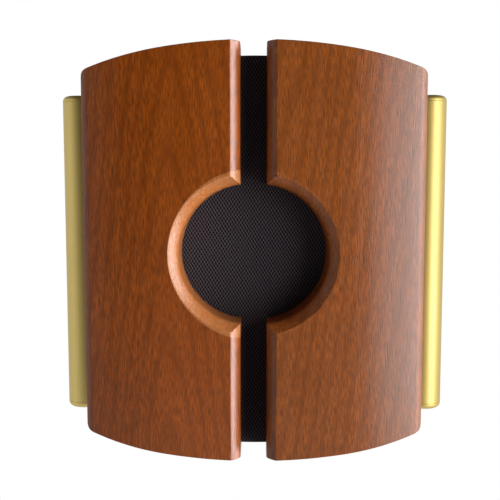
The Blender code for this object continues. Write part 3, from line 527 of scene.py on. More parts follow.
def arched_outline(half_width, top, corner):
    """Outline with straight sides, arched top and bottom, and rounded corners."""
    centre_z = top - ARCH_RADIUS
    corner_x = half_width - corner
    corner_z = centre_z + math.sqrt((ARCH_RADIUS - corner) ** 2 - corner_x ** 2)
    meet = math.atan2(corner_z - centre_z, corner_x)
    quarter = arc((corner_x, corner_z), corner, 0, meet, 8)
    quarter += arc((0, centre_z), ARCH_RADIUS, meet, math.pi / 2, 64)[1:]
    upper = quarter + [(-x, z) for x, z in reversed(quarter[:-1])]
    return upper + [(-x, -z) for x, z in upper]


def wood_half(side, name, node, material):
    beyond = 0.010
    section = [(side * x, y) for x, y in wood_section()]
    half = from_bmesh(name, prism(section, -WOOD_TOP - beyond, WOOD_TOP + beyond, "Z"), material)
    outline = arched_outline(WOOD_HALF, WOOD_TOP, WOOD_CORNER)
    cut(half, prism(outline, FRONT_Y - beyond, WOOD_BACK_Y + beyond), "INTERSECT")
    edge = [(OPENING_RADIUS + MOULDING_WIDTH - across, FRONT_Y + depth) for across, depth in moulding()]
    profile = [(0, FRONT_Y - beyond), (edge[0][0], FRONT_Y - beyond)] + edge
    profile += [(OPENING_RADIUS, WOOD_BACK_Y + beyond), (0, WOOD_BACK_Y + beyond)]
    cut(half, turned(profile, 180, centre=(side * OPENING_OFFSET, 0, 0)))
    pilot = rod(PILOT_RADIUS, WOOD_BACK_Y - PILOT_DEPTH, WOOD_BACK_Y + BEYOND)
    screw_x, screw_z = FRONT_SCREW_AT
    cut(half, joined([turned(pilot, 24, centre=(side * screw_x, 0, z)) for z in (screw_z, -screw_z)]))

    mitre_reach = SLOT_HALF + MOULDING_WIDTH - 0.0001

    def not_mitre(edge):
        middle = (edge.verts[0].co + edge.verts[1].co) / 2
        inside = abs(middle.x) < mitre_reach and abs(middle.z) < OPENING_RADIUS + 2 * MOULDING_WIDTH
        hidden = middle.y > WOOD_BACK_Y - PILOT_DEPTH - 0.001 and abs(middle.z) < WOOD_TOP - 0.025
        return not inside and not hidden

    bevel_edges(half, EDGE_RADIUS, 3, 14, not_mitre)
    smooth(half, 33)
    place(half, node)


# ---------------- grille cloth
CLOTH_CORNER = 0.0056


def cloth_material():
    """Open black weave: small dark pores in staggered rows between violet-grey threads."""
    n = material("grille_cloth_weave")
    x, _, z = n.xyz()
    drift = n.times(n.noise(60, detail=1.0), 2.0)

    def slanting(pitch, lean):
        """Rows of threads whose normal leans up from the horizontal by lean degrees."""
        along_x = n.times(x, math.tau * math.cos(math.radians(lean)) / pitch)
        along_z = n.times(z, math.tau * math.sin(math.radians(lean)) / pitch)
        return n.math("COSINE", n.plus(n.plus(along_x, along_z), drift))

    cells = n.plus(n.times(slanting(0.00143, 31.0), 0.58), n.times(slanting(0.00152, -36.6), 0.42))
    pores = n.remap(cells, -0.25, 0.45)
    fuzz = n.noise(5200, detail=2.0)
    colour = n.mix(pores, (0.066, 0.054, 0.064), (0.0008, 0.0006, 0.0008))
    colour = n.mix(n.remap(fuzz, 0.45, 0.75, 0.0, 0.12), colour, (0.060, 0.052, 0.058))
    height = n.minus(n.times(fuzz, 0.1), pores)
    return n.principled(colour, 0.9, n.bump(height, 0.00018, 0.6), Specular_IOR_Level=0.12)


def grille_cloth():
    """Cloth stretched over the cover's face, in the CAD node's own shape."""
    cloth = fine_copy("grille_cloth", "stretched_grille_cloth", cloth_material(), 0.0002)
    low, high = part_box("grille_cloth")
    width, length = high.x - low.x, high.z - low.z
    edge = arched_outline(high.x, length / 2, CLOTH_CORNER)


# ---------------- metals, plastics and the rest
def brass_material():
    """Satin brass with fine lines along the tube."""
    n = material("satin_brass_tube")
    lines = n.noise(3800, n.place(scale=(1, 1, 0.012)), roughness=0.6)
    cloud = n.noise(45, n.place(scale=(1, 1, 0.35)))
    colour = n.mix(n.spread(cloud), (0.78, 0.59, 0.140), (0.84, 0.64, 0.165))
    return n.principled(colour, n.spread(lines, 0.50, 0.60), n.bump(lines, 0.00002, 0.5), Metallic=1.0,
                        Coat_Weight=1.0, Coat_IOR=1.8, Coat_Roughness=0.45)


def plastic_material(name, colour, roughness, grain=0.00003):
    """Moulded plastic with a fine spark texture and slight shade changes."""
    n = material(name)
    spark = n.noise(2600, detail=2.0)
    cloud = n.noise(40, detail=2.0)
    shade = n.mix(n.spread(cloud), toned(colour, 0.88), toned(colour, 1.12))
    rough = n.spread(cloud, roughness - 0.05, roughness + 0.05)
    return n.principled(shade, rough, n.bump(spark, grain, 0.6))


def metal_material(name, colour, roughness):
    """Plated or bare metal with faint rubbing marks."""
    n = material(name)
    marks = n.noise(1400)
    cloud = n.noise(90)
    shade = n.mix(n.spread(cloud), toned(colour, 0.85), colour)
    rough = n.spread(marks, roughness - 0.06, roughness + 0.08)
    return n.principled(shade, rough, n.bump(marks, 0.00001, 0.5), Metallic=1.0)


def winding_material(name, axis, pitch, colour):
    """Lacquered wire wound side by side along one axis."""
    n = material(name)
    wave = n.wave(n.xyz()[axis], pitch)
    cloud = n.noise(300, detail=2.0)
    shade = n.mix(n.remap(wave, -1.0, 1.0), toned(colour, 0.35), colour)
    shade = n.mix(n.remap(cloud, 0.35, 0.65, 0.0, 0.4), shade, toned(colour, 1.2))
    return n.principled(shade, 0.32, n.bump(wave, pitch / 4, 0.8), Metallic=1.0, Coat_Weight=0.6,
                        Coat_Roughness=0.1)


def felt_material(name, dark, pale, scale, roughness, bump=0.00006):
    """Matted fibres: pressed paper, tag board, foam and the like."""
    n = material(name)
    fibres = n.noise(scale, detail=5.0, roughness=0.7, distortion=1.2)
    cloud = n.noise(scale / 12)
    shade = n.mix(n.spread(fibres), dark, pale)
    shade = n.mix(n.spread(cloud, 0.0, 0.35), shade, dark)
    return n.principled(shade, roughness, n.bump(fibres, bump, 0.8))


def weave(n, pitch):
    """Plain weave in the plane across Y."""
    x, _, z = n.xyz()
    return n.times(n.wave(x, pitch), n.wave(z, pitch))


def woven_material(name, dark, pale, pitch):
    n = material(name)
    over = weave(n, pitch)
    shade = n.mix(n.remap(over, -0.8, 0.8), dark, pale)
    return n.principled(shade, 0.75, n.bump(over, pitch / 6, 0.8))


def jacket_material(name, middle_x, nub_side):
    """Printed steel sleeve in two plain colours with a thin light line between them."""
    n = material(name)
    meet, half_line = 0.0095, 0.0005
    along = n.times(n.minus(n.xyz()["X"], middle_x), nub_side)
    pale = n.math("GREATER_THAN", along, meet)
    line = n.math("COMPARE", along, meet, half_line)
    scuff = n.noise(260, detail=4.0)
    shade = n.mix(pale, (0.018, 0.075, 0.110), (0.52, 0.52, 0.50))
    shade = n.mix(line, shade, (0.80, 0.42, 0.03))
    shade = n.mix(n.remap(scuff, 0.66, 0.76, 0.0, 0.25), shade, (0.25, 0.27, 0.28))
    return n.principled(shade, n.spread(scuff, 0.22, 0.34), n.bump(scuff, 0.00001, 0.5), Metallic=0.35,
                        Coat_Weight=0.5, Coat_Roughness=0.08)


def board_material():
    """Green solder mask over glass cloth."""
    n = material("green_solder_mask")
    cloth = weave(n, 0.0006)
    cloud = n.noise(120)
    shade = n.mix(n.remap(cloth, -1, 1), (0.010, 0.085, 0.030), (0.013, 0.105, 0.036))
    shade = n.mix(n.spread(cloud, 0.0, 0.5), shade, (0.008, 0.070, 0.028))
    return n.principled(shade, 0.28, n.bump(cloth, 0.00001, 0.4), Coat_Weight=0.4, Coat_Roughness=0.12)


def sleeve_material(middle_x, middle_z):
    """Shrink sleeve with one pale stripe down its side."""
    n = material("capacitor_shrink_sleeve")
    x, _, z = n.xyz()
    facing = n.math("ARCTAN2", n.minus(z, middle_z), n.minus(x, middle_x))
    stripe = n.math("COMPARE", facing, 2.3, 0.30)
    cloud = n.noise(300)
    shade = n.mix(stripe, (0.012, 0.020, 0.060), (0.50, 0.52, 0.55))
    return n.principled(shade, n.spread(cloud, 0.24, 0.36), n.bump(cloud, 0.00002, 0.5), Coat_Weight=0.3,
                        Coat_Roughness=0.1)


# ---------------- tubes and screws
TUBE_WALL = 0.0010
CAP_ROUND = 0.0026
CAP_PLUG = 0.005                # the cap reaches this far into the tube
SEAM = 0.00006                  # fine joint line left between a tube and its cap
SCREW_HEAD = 0.0018
SCREW_RADIUS = 0.0014
SCREW_PITCH = 0.0008
THREAD_DEPTH = 0.0003
RECESS_HALF = 0.00042


def brass_tubes(brass):
    for side in ("left", "right"):
        node = "brass_tube_" + side
        middle, half = extent(node)[2:]
        radius, end_z = half.x, half.z
        wall = eased(ring(radius - TUBE_WALL, radius, -end_z, end_z), 0.00008, closed=True)
        spun(node + "_drawn", wall, brass, node, "Z", middle, 128)
        plug = radius - TUBE_WALL - 0.0002
        for end, up in (("upper", 1), ("lower", -1)):
            node = f"tube_cap_{side}_{end}"
            tip = max(abs(corner.z - middle.z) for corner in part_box(node))
            profile = [(0, end_z - CAP_PLUG), (plug, end_z - CAP_PLUG), (plug, end_z + SEAM),
                       (radius - 0.0001, end_z + SEAM), (radius, end_z + SEAM + 0.0001)]
            profile += arc((radius - CAP_ROUND, tip - CAP_ROUND), CAP_ROUND, 0, math.pi / 2, 10) + [(0, tip)]
            spun(node + "_spun", [(r, up * z) for r, z in profile], brass, node, "Z", middle, 128)


def pan_head_screw(node, way, head_radius, steel):
    """Pan head with a cross recess.  The head points along way, a signed unit vector."""
    way = Vector(way)
    middle, half = extent(node)[2:]
    length = 2 * abs(half.dot(way))
    seat = middle + way * (length / 2 - SCREW_HEAD)
    shank = length - SCREW_HEAD
    root = SCREW_RADIUS - THREAD_DEPTH
    crown = arc((head_radius - 0.0009, SCREW_HEAD * 0.45), 0.0009, 0, math.pi / 2, 6)
    profile = [(0, crown[-1][1])] + crown[::-1] + [(head_radius, 0), (SCREW_RADIUS, 0)]
    for i in range(int((shank - 0.0022) / SCREW_PITCH)):
        at = -0.0006 - SCREW_PITCH * i
        profile += [(root, at), (SCREW_RADIUS, at - SCREW_PITCH / 2)]
    profile += [(root, -shank + 0.0016), (0, -shank)]
    item = from_bmesh(node + "_threaded", turned(profile, 40), steel)
    reach = head_radius * 0.62
    thin = RECESS_HALF
    arm = [(thin, thin), (thin, reach), (-thin, reach)]
    cross = arm + [(-z, x) for x, z in arm] + [(-x, -z) for x, z in arm] + [(z, -x) for x, z in arm]
    cut(item, prism(cross, SCREW_HEAD * 0.35, SCREW_HEAD + 0.001))
    turn = Vector((0, 1, 0)).rotation_difference(way).to_matrix().to_4x4()
    item.data.transform(Matrix.Translation(seat) @ turn)
    smooth(item, 34)
    place(item, node)


def screws(steel):
    for side, out in (("left", -1), ("right", 1)):
        for end in ("upper", "lower"):
            pan_head_screw(f"front_screw_{side}_{end}", (0, 1, 0), 0.0030, steel)
            pan_head_screw(f"tube_screw_{side}_{end}", (-out, 0, 0), 0.0026, steel)
        pan_head_screw("speaker_screw_" + side, (0, -1, 0), 0.0026, steel)


# ---------------- loudspeaker
BASKET_LOW, BASKET_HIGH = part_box("speaker_frame")
FLANGE_FRONT = BASKET_LOW.y
FLANGE_RADIUS = BASKET_HIGH.z
EAR_REACH = BASKET_HIGH.x
SEAT_Y = BASKET_HIGH.y
SHEET = 0.0008
BASKET_MOUTH = 0.0225
SEAT_RADIUS = 0.0148
SEAT_HOLE = 0.0095
EAR_HALF = 0.0042
EAR_HOLE = 0.0017
WINDOWS = 4
WINDOW_HALF = 0.0065
SKIN = 0.0004
NECK = 0.0067                   # inner radius of the cone
LIP = 0.0005
COIL_WALL = 0.0004
DOME = 0.0090
DOME_EDGE = math.radians(-33.5)
ROLL_INNER = 0.0212
ROLL_OUTER = 0.0236
ROLL_LIP = 0.0006
SPIDER_INNER = 0.0068
SPIDER_WAVES = 4
SPIDER_SKIN = 0.0003
SECTORS = 24                    # the flexible rings are built sector by sector


def basket(coat):
    """Pressed basket with two screw ears and four windows in its sloping wall."""
    back = FLANGE_FRONT + SHEET
    seat_front = SEAT_Y - SHEET
    profile = [(BASKET_MOUTH, FLANGE_FRONT), (FLANGE_RADIUS, FLANGE_FRONT), (FLANGE_RADIUS, back),
               (BASKET_MOUTH + 0.0011, back), (SEAT_RADIUS, SEAT_Y), (SEAT_HOLE, SEAT_Y),
               (SEAT_HOLE, seat_front), (SEAT_RADIUS - SHEET, seat_front), (BASKET_MOUTH, back)]
    pressed = from_bmesh("speaker_basket", turned(eased(profile, 0.00025, closed=True), 96), coat)
    root = FLANGE_RADIUS - 0.003
    tip = arc((EAR_REACH - EAR_HALF, 0), EAR_HALF, -math.pi / 2, math.pi / 2, 16)
    screw_x = extent("speaker_screw_right")[2].x
    holes = []
    for side in (1, -1):
        ear = [(side * x, z) for x, z in [(root, -EAR_HALF)] + tip + [(root, EAR_HALF)]]
        cut(pressed, prism(ear, FLANGE_FRONT, back), "UNION")
        hole = rod(EAR_HOLE, FLANGE_FRONT - BEYOND, back + BEYOND)
        holes.append(turned(hole, 32, centre=(side * screw_x, 0, 0)))
    cut(pressed, joined(holes))
    windows = []
    corners = eased(rectangle(-0.0285, -0.0195, -WINDOW_HALF, WINDOW_HALF), 0.0016, 4, closed=True)
    for i in range(WINDOWS):
        window = prism(corners, SEAT_RADIUS - 0.0013, FLANGE_RADIUS + 0.0015, "X")
        turn = Matrix.Rotation(math.tau * (i + 0.5) / WINDOWS, 4, "Y")
        bmesh.ops.transform(window, matrix=turn, verts=window.verts)
        windows.append(window)
    cut(pressed, joined(windows))
    smooth(pressed, 32)
    place(pressed, "speaker_frame")


def plain_rings(steel, ferrite, winding, foam):
    """Front plate, magnet, voice coil and gasket."""
    coil_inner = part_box("speaker_voice_coil")[1].x - COIL_WALL
    rings = (("speaker_front_plate", "turned", 0.0067, 0.0002, 3, steel),
             ("speaker_magnet", "turned", 0.0080, 0.0005, 3, ferrite),
             ("speaker_voice_coil", "wound", coil_inner, 0.0001, 3, winding),
             ("speaker_gasket", "foam", 0.0248, 0.0006, 4, foam))
    for node, name, inner, ease, steps, material in rings:
        low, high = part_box(node)
        profile = eased(ring(inner, high.x, low.y, high.y), ease, steps, closed=True)
        spun(f"{node}_{name}", profile, material, node)


def yoke(steel):
    low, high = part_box("speaker_yoke")
    disc, dent, pole = high.y - 0.0020, high.y - 0.0006, 0.0057
    profile = [(0, low.y), (pole, low.y), (pole, disc), (high.x, disc), (high.x, high.y), (0.0030, high.y),
               (0.0026, dent), (0, dent)]
    spun("speaker_yoke_turned", eased(profile, 0.0003), steel, "speaker_yoke")


def cone(paper):
    """Ribbed paper cone with a turned-out lip under the surround."""
    low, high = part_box("speaker_cone")
    ribbed_from = 0.55
    front = []
    for share in shares(40):
        rib = 0.0
        if share > ribbed_from:
            rib = 0.00012 * math.sin(math.tau * 4 * (share - ribbed_from) / (1 - ribbed_from))
        radius = NECK + (high.x - LIP - NECK) * share
        front.append((radius, high.y - LIP + (low.y + LIP - high.y) * share + rib))
    front += [(high.x, low.y - 0.0008), (ROLL_INNER - 0.0001, low.y - 0.0010)]
    back = [(radius + 0.00035, y + 0.00035) for radius, y in reversed(front[1:-1])]
    profile = front + [(ROLL_INNER - 0.0001, low.y - 0.0007)] + back + [(NECK, high.y)]
    spun("speaker_cone_ribbed", profile, paper, "speaker_cone", steps=128)


def dust_cap(paper):
    centre = (0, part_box("speaker_dust_cap")[0].y + DOME)
    outer = arc(centre, DOME, -math.pi / 2, DOME_EDGE, 14)
    inner = arc(centre, DOME - SKIN, DOME_EDGE, -math.pi / 2, 14)
    shell = [(0, outer[0][1])] + outer[1:] + inner[:-1] + [(0, inner[-1][1])]
    spun("speaker_dust_cap_domed", shell, paper, "speaker_dust_cap")


def flexible_ring(name, profile, material, slot, node):
    """Ring between the moving cone and the fixed basket, built as separate sectors round its axis."""
    for sector in range(SECTORS):
        rings = []
        for share in shares(6):
            angle = math.tau * (sector + share) / SECTORS
            rings.append([(r * math.cos(angle), y, r * math.sin(angle)) for r, y in profile])
        piece = from_bmesh(f"{name}_{sector + 1:02d}", loft(rings), material)
        piece.data.shade_smooth()
        piece.data.set_sharp_from_angle(angle=math.radians(50))
        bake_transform(piece)
        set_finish(piece, slot)
        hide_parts(node)


def surround(foam):
    """Half-round roll of foam rubber."""
    low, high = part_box("speaker_surround")
    centre = (ROLL_INNER + ROLL_OUTER) / 2
    height = high.y - low.y - SKIN

    def roll(reach, foot_y):
        angles = [math.pi * (1 - share) for share in shares(14)]
        curve = [(centre + reach * math.cos(a), foot_y - height * math.sin(a)) for a in angles]
        return [(ROLL_INNER - ROLL_LIP, foot_y)] + curve + [(ROLL_OUTER + ROLL_LIP, foot_y)]

    reach = (ROLL_OUTER - ROLL_INNER) / 2
    profile = roll(reach + SKIN / 2, high.y - SKIN) + roll(reach - SKIN / 2, high.y)[::-1]
    flexible_ring("speaker_surround_roll", profile, foam, "foam", "speaker_surround")


def spider(cloth):
    """Pleated ring that centres the voice coil."""
    _, high, middle, _ = extent("speaker_spider")
    front = []
    for share in shares(12 * SPIDER_WAVES):
        pleat = 0.0003 * math.sin(math.tau * SPIDER_WAVES * share)
        front.append((SPIDER_INNER + (high.x - SPIDER_INNER) * share, middle.y - SPIDER_SKIN / 2 + pleat))
    back = [(radius, y + SPIDER_SKIN) for radius, y in reversed(front)]
    flexible_ring("speaker_spider_pleats", front + back, cloth,
                  "spider_cloth", "speaker_spider")


def solder_tags(tag_board, steel):
    low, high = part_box("speaker_terminal_strip")
    solid("speaker_tag_strip", box(low, high), tag_board, "speaker_terminal_strip", width=0.0001)
    tag_low = low.z - 0.0003
    blob = [(0, 0)] + [(r, -0.7 * z) for r, z in arc((0, 0), 0.0009, 0, math.pi / 2, 8)]
    for side, x in (("left", -0.003), ("right", 0.003)):
        corners = rectangle(x - 0.0012, x + 0.0012, low.y + 0.0012, high.y - 0.0006)
        tag = prism(eased(corners, 0.0008, 4, closed=True), tag_low, low.z, "Z")
        solid("speaker_tag_" + side, tag, steel, width=0.00005)
        spun("speaker_solder_" + side, blob, steel, axis="Z", centre=(x, -0.0252, tag_low), steps=32)


def loudspeaker(steel):
    coat = plastic_material("black_electrocoat", (0.020, 0.020, 0.022), 0.34, 0.00001)
    ferrite = felt_material("ground_ferrite", (0.030, 0.030, 0.033), (0.062, 0.062, 0.068), 1500, 0.55,
                            0.00002)
    foam = felt_material("foam_rubber", (0.012, 0.012, 0.012), (0.030, 0.030, 0.031), 2400, 0.9, 0.00005)
    paper = felt_material("felted_cone_paper", (0.012, 0.012, 0.012), (0.045, 0.043, 0.041), 1300, 0.88)
    tag_board = felt_material("brown_tag_board", (0.17, 0.075, 0.022), (0.32, 0.16, 0.055), 900, 0.6,
                              0.00002)
    winding = winding_material("voice_coil_winding", "Y", 0.00022, (0.72, 0.33, 0.16))
    basket(coat)
    plain_rings(steel, ferrite, winding, foam)
    yoke(steel)
    cone(paper)
    dust_cap(paper)
    surround(foam)
    spider(woven_material("spider_weave", (0.26, 0.13, 0.035), (0.52, 0.32, 0.12), 0.0006))
    solder_tags(tag_board, steel)


# ---------------- battery compartment
NUB = 0.0015                    # the nub stands this far out of the cell
SPRING_WIRE = 0.0004


def dry_cell(which, nub_side, steel):
    node = "battery_cell_" + which
    middle, half = extent(node)[2:]
    radius, end = half.y, half.x
    rim = radius - 0.0016
    shoulder = end - NUB
    tube_low, tube_high = -end + 0.0004, shoulder - 0.0002
    jacket = jacket_material("cell_sleeve_" + which, middle.x, nub_side)
    tube = eased(rod(radius, tube_low, tube_high), 0.0009, 5)
    plus = [(0, tube_high - 0.0006), (rim, tube_high - 0.0006), (rim, shoulder), (0.0042, shoulder),
            (0.0036, shoulder - 0.0003), (0.0033, end), (0, end)]
    minus = [(0, -end), (radius - 0.0030, -end), (radius - 0.0034, -end + 0.0003), (rim, -end + 0.0002),
             (rim, tube_low + 0.0006), (0, tube_low + 0.0006)]
    for name, profile, material, stands_for in (("jacket", tube, jacket, node),
                                                ("plus_end", eased(plus, 0.0003), steel, None),
                                                ("minus_end", eased(minus, 0.0002), steel, None)):
        spun(f"{node}_{name}", [(r, nub_side * x) for r, x in profile], material, stands_for, "X", middle)


def coil(node, name, material, turns, wire, centre, way, start, end):
    """Wire wound round an axis along X, from the start radius to the end radius, up X or down it."""
    middle, half = extent(node)[2:]
    reach = way * (half.x - wire)
    points = []
    for share in shares(turns * 40):
        radius = start + (end - start) * share
        angle = math.tau * turns * share
        points.append((middle.x + reach * (2 * share - 1), centre.y + radius * math.cos(angle),
                       centre.z + radius * math.sin(angle)))
    round_wire(name, points, wire, material, node)


def battery_compartment(steel, black):
    fine_copy("battery_tray", "battery_tray_moulded", black, 0.0003, 3)
    for node in ("battery_link_plate", "battery_contact_upper", "battery_contact_lower"):
        fine_copy(node, node + "_pressed", steel, 0.00015)
    for which, nub_side in (("upper", -1), ("lower", 1)):
        dry_cell(which, nub_side, steel)
        node = "battery_spring_" + which
        centre = extent("battery_cell_" + which)[2]
        coil(node, node + "_wire", steel, 3, SPRING_WIRE, centre, nub_side, 0.0085, 0.0040)


# ---------------- electronics
BOARD_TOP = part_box("main_board")[0].y
TRACK = 0.00006                 # tracks stand this far out of the board
PINS = 8
PIN_PITCH = 0.00135
AERIAL_WIRE = 0.0004


def tracks(name, routes, width, mask):
    """Raised copper tracks under the solder mask, along routes of (x, z) points."""
    runs = []
    for route in routes:
        for start, end in zip(route, route[1:]):
            start, end = Vector(start), Vector(end)
            along = (end - start).normalized() * (width / 2)
            across = Vector((-along.y, along.x))
            start, end = start - along, end + along
            corners = [start - across, end - across, end + across, start + across]
            runs.append(prism(corners, BOARD_TOP - TRACK, BOARD_TOP + 0.0001))
    solid(name, joined(runs), mask, slot="circuit_board")


def solder_joints(name, places, steel):
    """Small cones of solder on the board."""
    size = 0.0007
    foot = BOARD_TOP + 0.00005
    drop = [(0, BOARD_TOP - size), (size * 0.25, BOARD_TOP - size * 0.95),
            (size * 0.45, BOARD_TOP - size * 0.4), (size, BOARD_TOP - 0.00008), (size, foot), (0, foot)]
    drops = [turned(drop, 20, centre=(x, 0, z)) for x, z in places]
    solid(name, joined(drops), steel, angle=50)


def chip(steel):
    low, high, middle, _ = extent("melody_chip")
    epoxy = plastic_material("moulded_epoxy", (0.018, 0.018, 0.019), 0.48)
    dimple = turned(rod(0.0006, low.y - 0.001, low.y + 0.0002), 24,
                    centre=(low.x + 0.0014, 0, high.z - 0.0014))

    def shows(edge):
        first, second = (vert.co.y for vert in edge.verts)
        return max(first, second) < low.y + 0.00015 or abs(first - second) > 0.001

    crisp("melody_chip_package", box(low, high), epoxy, "melody_chip", [dimple], 0.00025, shows)
    thick = 0.00018
    foot_y = BOARD_TOP - thick
    path = [(middle.y, 0), (middle.y, 0.0005), (foot_y, 0.0007), (foot_y, 0.0014)]
    under = [(middle.y, 0), (middle.y, 0.0005 - thick), (foot_y, 0.0007 - thick), (foot_y, 0.0014)]
    legs = []
    for edge_z, way in ((low.z, -1), (high.z, 1)):
        outline = [(y - thick / 2, edge_z + way * out) for y, out in path]
        outline += [(y + thick / 2, edge_z + way * out) for y, out in reversed(under)]
        for i in range(PINS):
            x = middle.x + (i - (PINS - 1) / 2) * PIN_PITCH
            legs.append(prism(outline, x - 0.0002, x + 0.0002, "X"))
    solid("melody_chip_legs", joined(legs), steel)


def capacitor(steel):
    low, high, middle, half = extent("filter_capacitor")
    radius = half.x
    groove = high.y - 0.0016
    profile = [(0, low.y + 0.0003), (radius - 0.0010, low.y + 0.0003), (radius - 0.0010, low.y),
               (radius, low.y + 0.0004), (radius, groove - 0.0005), (radius - 0.0004, groove),
               (radius, groove + 0.0005), (radius, high.y), (0, high.y)]
    centre = (middle.x, 0, middle.z)
    spun("filter_capacitor_sleeve", eased(profile, 0.0002), sleeve_material(middle.x, middle.z),
         "filter_capacitor", centre=centre, steps=64)
    top = rod(radius - 0.0011, low.y + 0.0001, low.y + 0.0005)
    spun("filter_capacitor_top", top, steel, centre=centre, steps=64)


def resistors(name, places, colour, steel):
    """Small axial parts lying along Z on bent wires, with generic colour bands."""
    n = material(name + "_coating")
    cloud = n.noise(500, detail=2.0)
    shade = n.mix(n.spread(cloud), toned(colour, 0.85), colour)
    band = n.math("GREATER_THAN", n.wave(n.xyz()["Z"], 0.0016), 0.82)
    shade = n.mix(band, shade, (0.10, 0.030, 0.015))
    coating = n.principled(shade, 0.35, n.bump(cloud, 0.00001, 0.4))
    thin, fat, half, bend, wire = 0.00075, 0.00095, 0.0026, 0.0008, 0.00025
    axis_y = BOARD_TOP - fat - 0.0002
    lower = [(0, -half), (fat * 0.8, -half), (fat, -half + 0.0004), (fat, -half + 0.0010),
             (thin, -half + 0.0014)]
    shape = lower + [(radius, -z) for radius, z in reversed(lower)]
    bodies, wires = [], []
    for x, z in places:
        bodies.append(turned(shape, 32, "Z", (x, axis_y, z)))
        for way in (-1, 1):
            wires.append(turned(rod(wire, 0, way * bend), 12, "Z", (x, axis_y, z + way * half)))
            wires.append(turned(rod(wire, axis_y, BOARD_TOP), 12, "Y", (x, 0, z + way * (half + bend))))
    solid(name, joined(bodies), coating, slot="spider_cloth", angle=40)
    solid(name + "_wires", joined(wires), steel, angle=40)


def bare_board(node, mask):
    """Board with a screw hole in each corner."""
    low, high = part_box(node)
    inset = 0.0025
    hole = rod(0.0009, low.y - 0.001, high.y + 0.001)
    holes = [turned(hole, 24, centre=(x, 0, z)) for x in (low.x + inset, high.x - inset)
             for z in (low.z + inset, high.z - inset)]
    solid(node + "_etched", box(low, high), mask, node, cuts=[joined(holes)])


def main_board_parts(track_mask, steel):
    low, high, middle, _ = extent("melody_chip")
    routes = []
    for i in range(PINS):
        from_middle = i - (PINS - 1) / 2
        x = middle.x + from_middle * PIN_PITCH
        spread_x = x + from_middle * 0.0012
        for edge_z, way, start, bend, end, reach in ((high.z, 1, 0.001, 0.0025, 0.0055, 0.0100),
                                                     (low.z, -1, 0.001, 0.0030, 0.0070, 0.0110)):
            routes.append([(x, edge_z + way * start), (x, edge_z + way * bend),
                           (spread_x, edge_z + way * end), (spread_x, edge_z + way * reach)])
    pads = [route[-1] for route in routes]
    pads += [(0.0080, -0.0733), (0.0080, -0.0499), (0.009, -0.0490), (0.015, -0.0490), (0.0300, -0.0470)]
    routes += [[(0.0080, -0.0733), (0.0080, -0.0860), (0.0120, -0.0900)],
               [(0.0080, -0.0499), (0.0080, -0.0560), (0.0140, -0.0620), (0.0140, -0.0800)],
               [(0.0385, -0.0585), (0.0400, -0.0650), (0.0400, -0.0860)]]
    tracks("main_board_tracks", routes, 0.0005, track_mask)
    solder_joints("main_board_solder", pads, steel)
    places = [(0.0095, -0.0610), (0.0125, -0.0610), (0.0155, -0.0700), (0.0360, -0.0720)]
    resistors("main_board_resistors", places, (0.52, 0.36, 0.19), steel)
    chip(steel)
    capacitor(steel)


def receiver_board_parts(track_mask, steel, copper):
    routes = [[(x, 0.0520), (x, 0.0620), (x + 0.003, 0.0650), (x + 0.003, 0.0690)]
              for x in (-0.018, -0.0155, -0.013, 0.010, 0.0125)]
    routes += [[(-0.024, 0.0480), (0.024, 0.0480), (0.024, 0.0560)],
               [(0.0165, 0.0600), (0.0220, 0.0650), (0.0220, 0.0760)]]
    pads = [route[0] for route in routes] + [(0.0250, 0.0500), (-0.012, 0.072), (0.006, 0.072)]
    tracks("receiver_board_tracks", routes, 0.0006, track_mask)
    solder_joints("receiver_board_solder", pads, steel)
    places = [(-0.0205, 0.0640), (0.0150, 0.0700), (0.0180, 0.0700)]
    resistors("receiver_board_resistors", places, (0.20, 0.36, 0.45), steel)
    middle, half = extent("antenna_coil")[2:]
    radius = half.z - AERIAL_WIRE
    coil("antenna_coil", "antenna_coil_wound", copper, 5, AERIAL_WIRE, middle, 1, radius, radius)


def boards(steel, copper):
    mask = board_material()
    track_mask = plastic_material("masked_tracks", (0.022, 0.165, 0.060), 0.28, 0.000005)
    bare_board("main_board", mask)
    bare_board("receiver_board", mask)
    main_board_parts(track_mask, steel)
    receiver_board_parts(track_mask, steel, copper)


# ---------------- controls
SHAFT_RADIUS = 0.0015
WHEEL_RIBS = 24
RIB_DEPTH = 0.00045


def volume_control(grey, black):
    low, high, middle, half = extent("volume_potentiometer")
    top = high.y - 0.0024
    profile = [(0, low.y), (SHAFT_RADIUS, low.y), (SHAFT_RADIUS, top), (half.x, top), (half.x, high.y),
               (0, high.y)]
    spun("volume_potentiometer_cased", eased(profile, 0.0002), grey, "volume_potentiometer",
         centre=(middle.x, 0, middle.z), steps=64)

    low, high, middle, half = extent("volume_wheel")
    steps = WHEEL_RIBS * 12
    rim = []
    for i in range(steps):
        angle = math.tau * i / steps
        radius = half.x - RIB_DEPTH * (0.5 - 0.5 * math.cos(WHEEL_RIBS * angle))
        rim.append((middle.x + radius * math.cos(angle), middle.z + radius * math.sin(angle)))
    centre = (middle.x, 0, middle.z)
    dish = turned(ring(0.0032, 0.0095, low.y - 0.001, low.y + 0.0008), 64, centre=centre)
    bore = turned(rod(SHAFT_RADIUS + 0.0003, low.y - BEYOND, high.y + BEYOND), 48, centre=centre)
    crisp("volume_wheel_ribbed", prism(rim, low.y, high.y), black, "volume_wheel", [dish, bore], 0.0002)


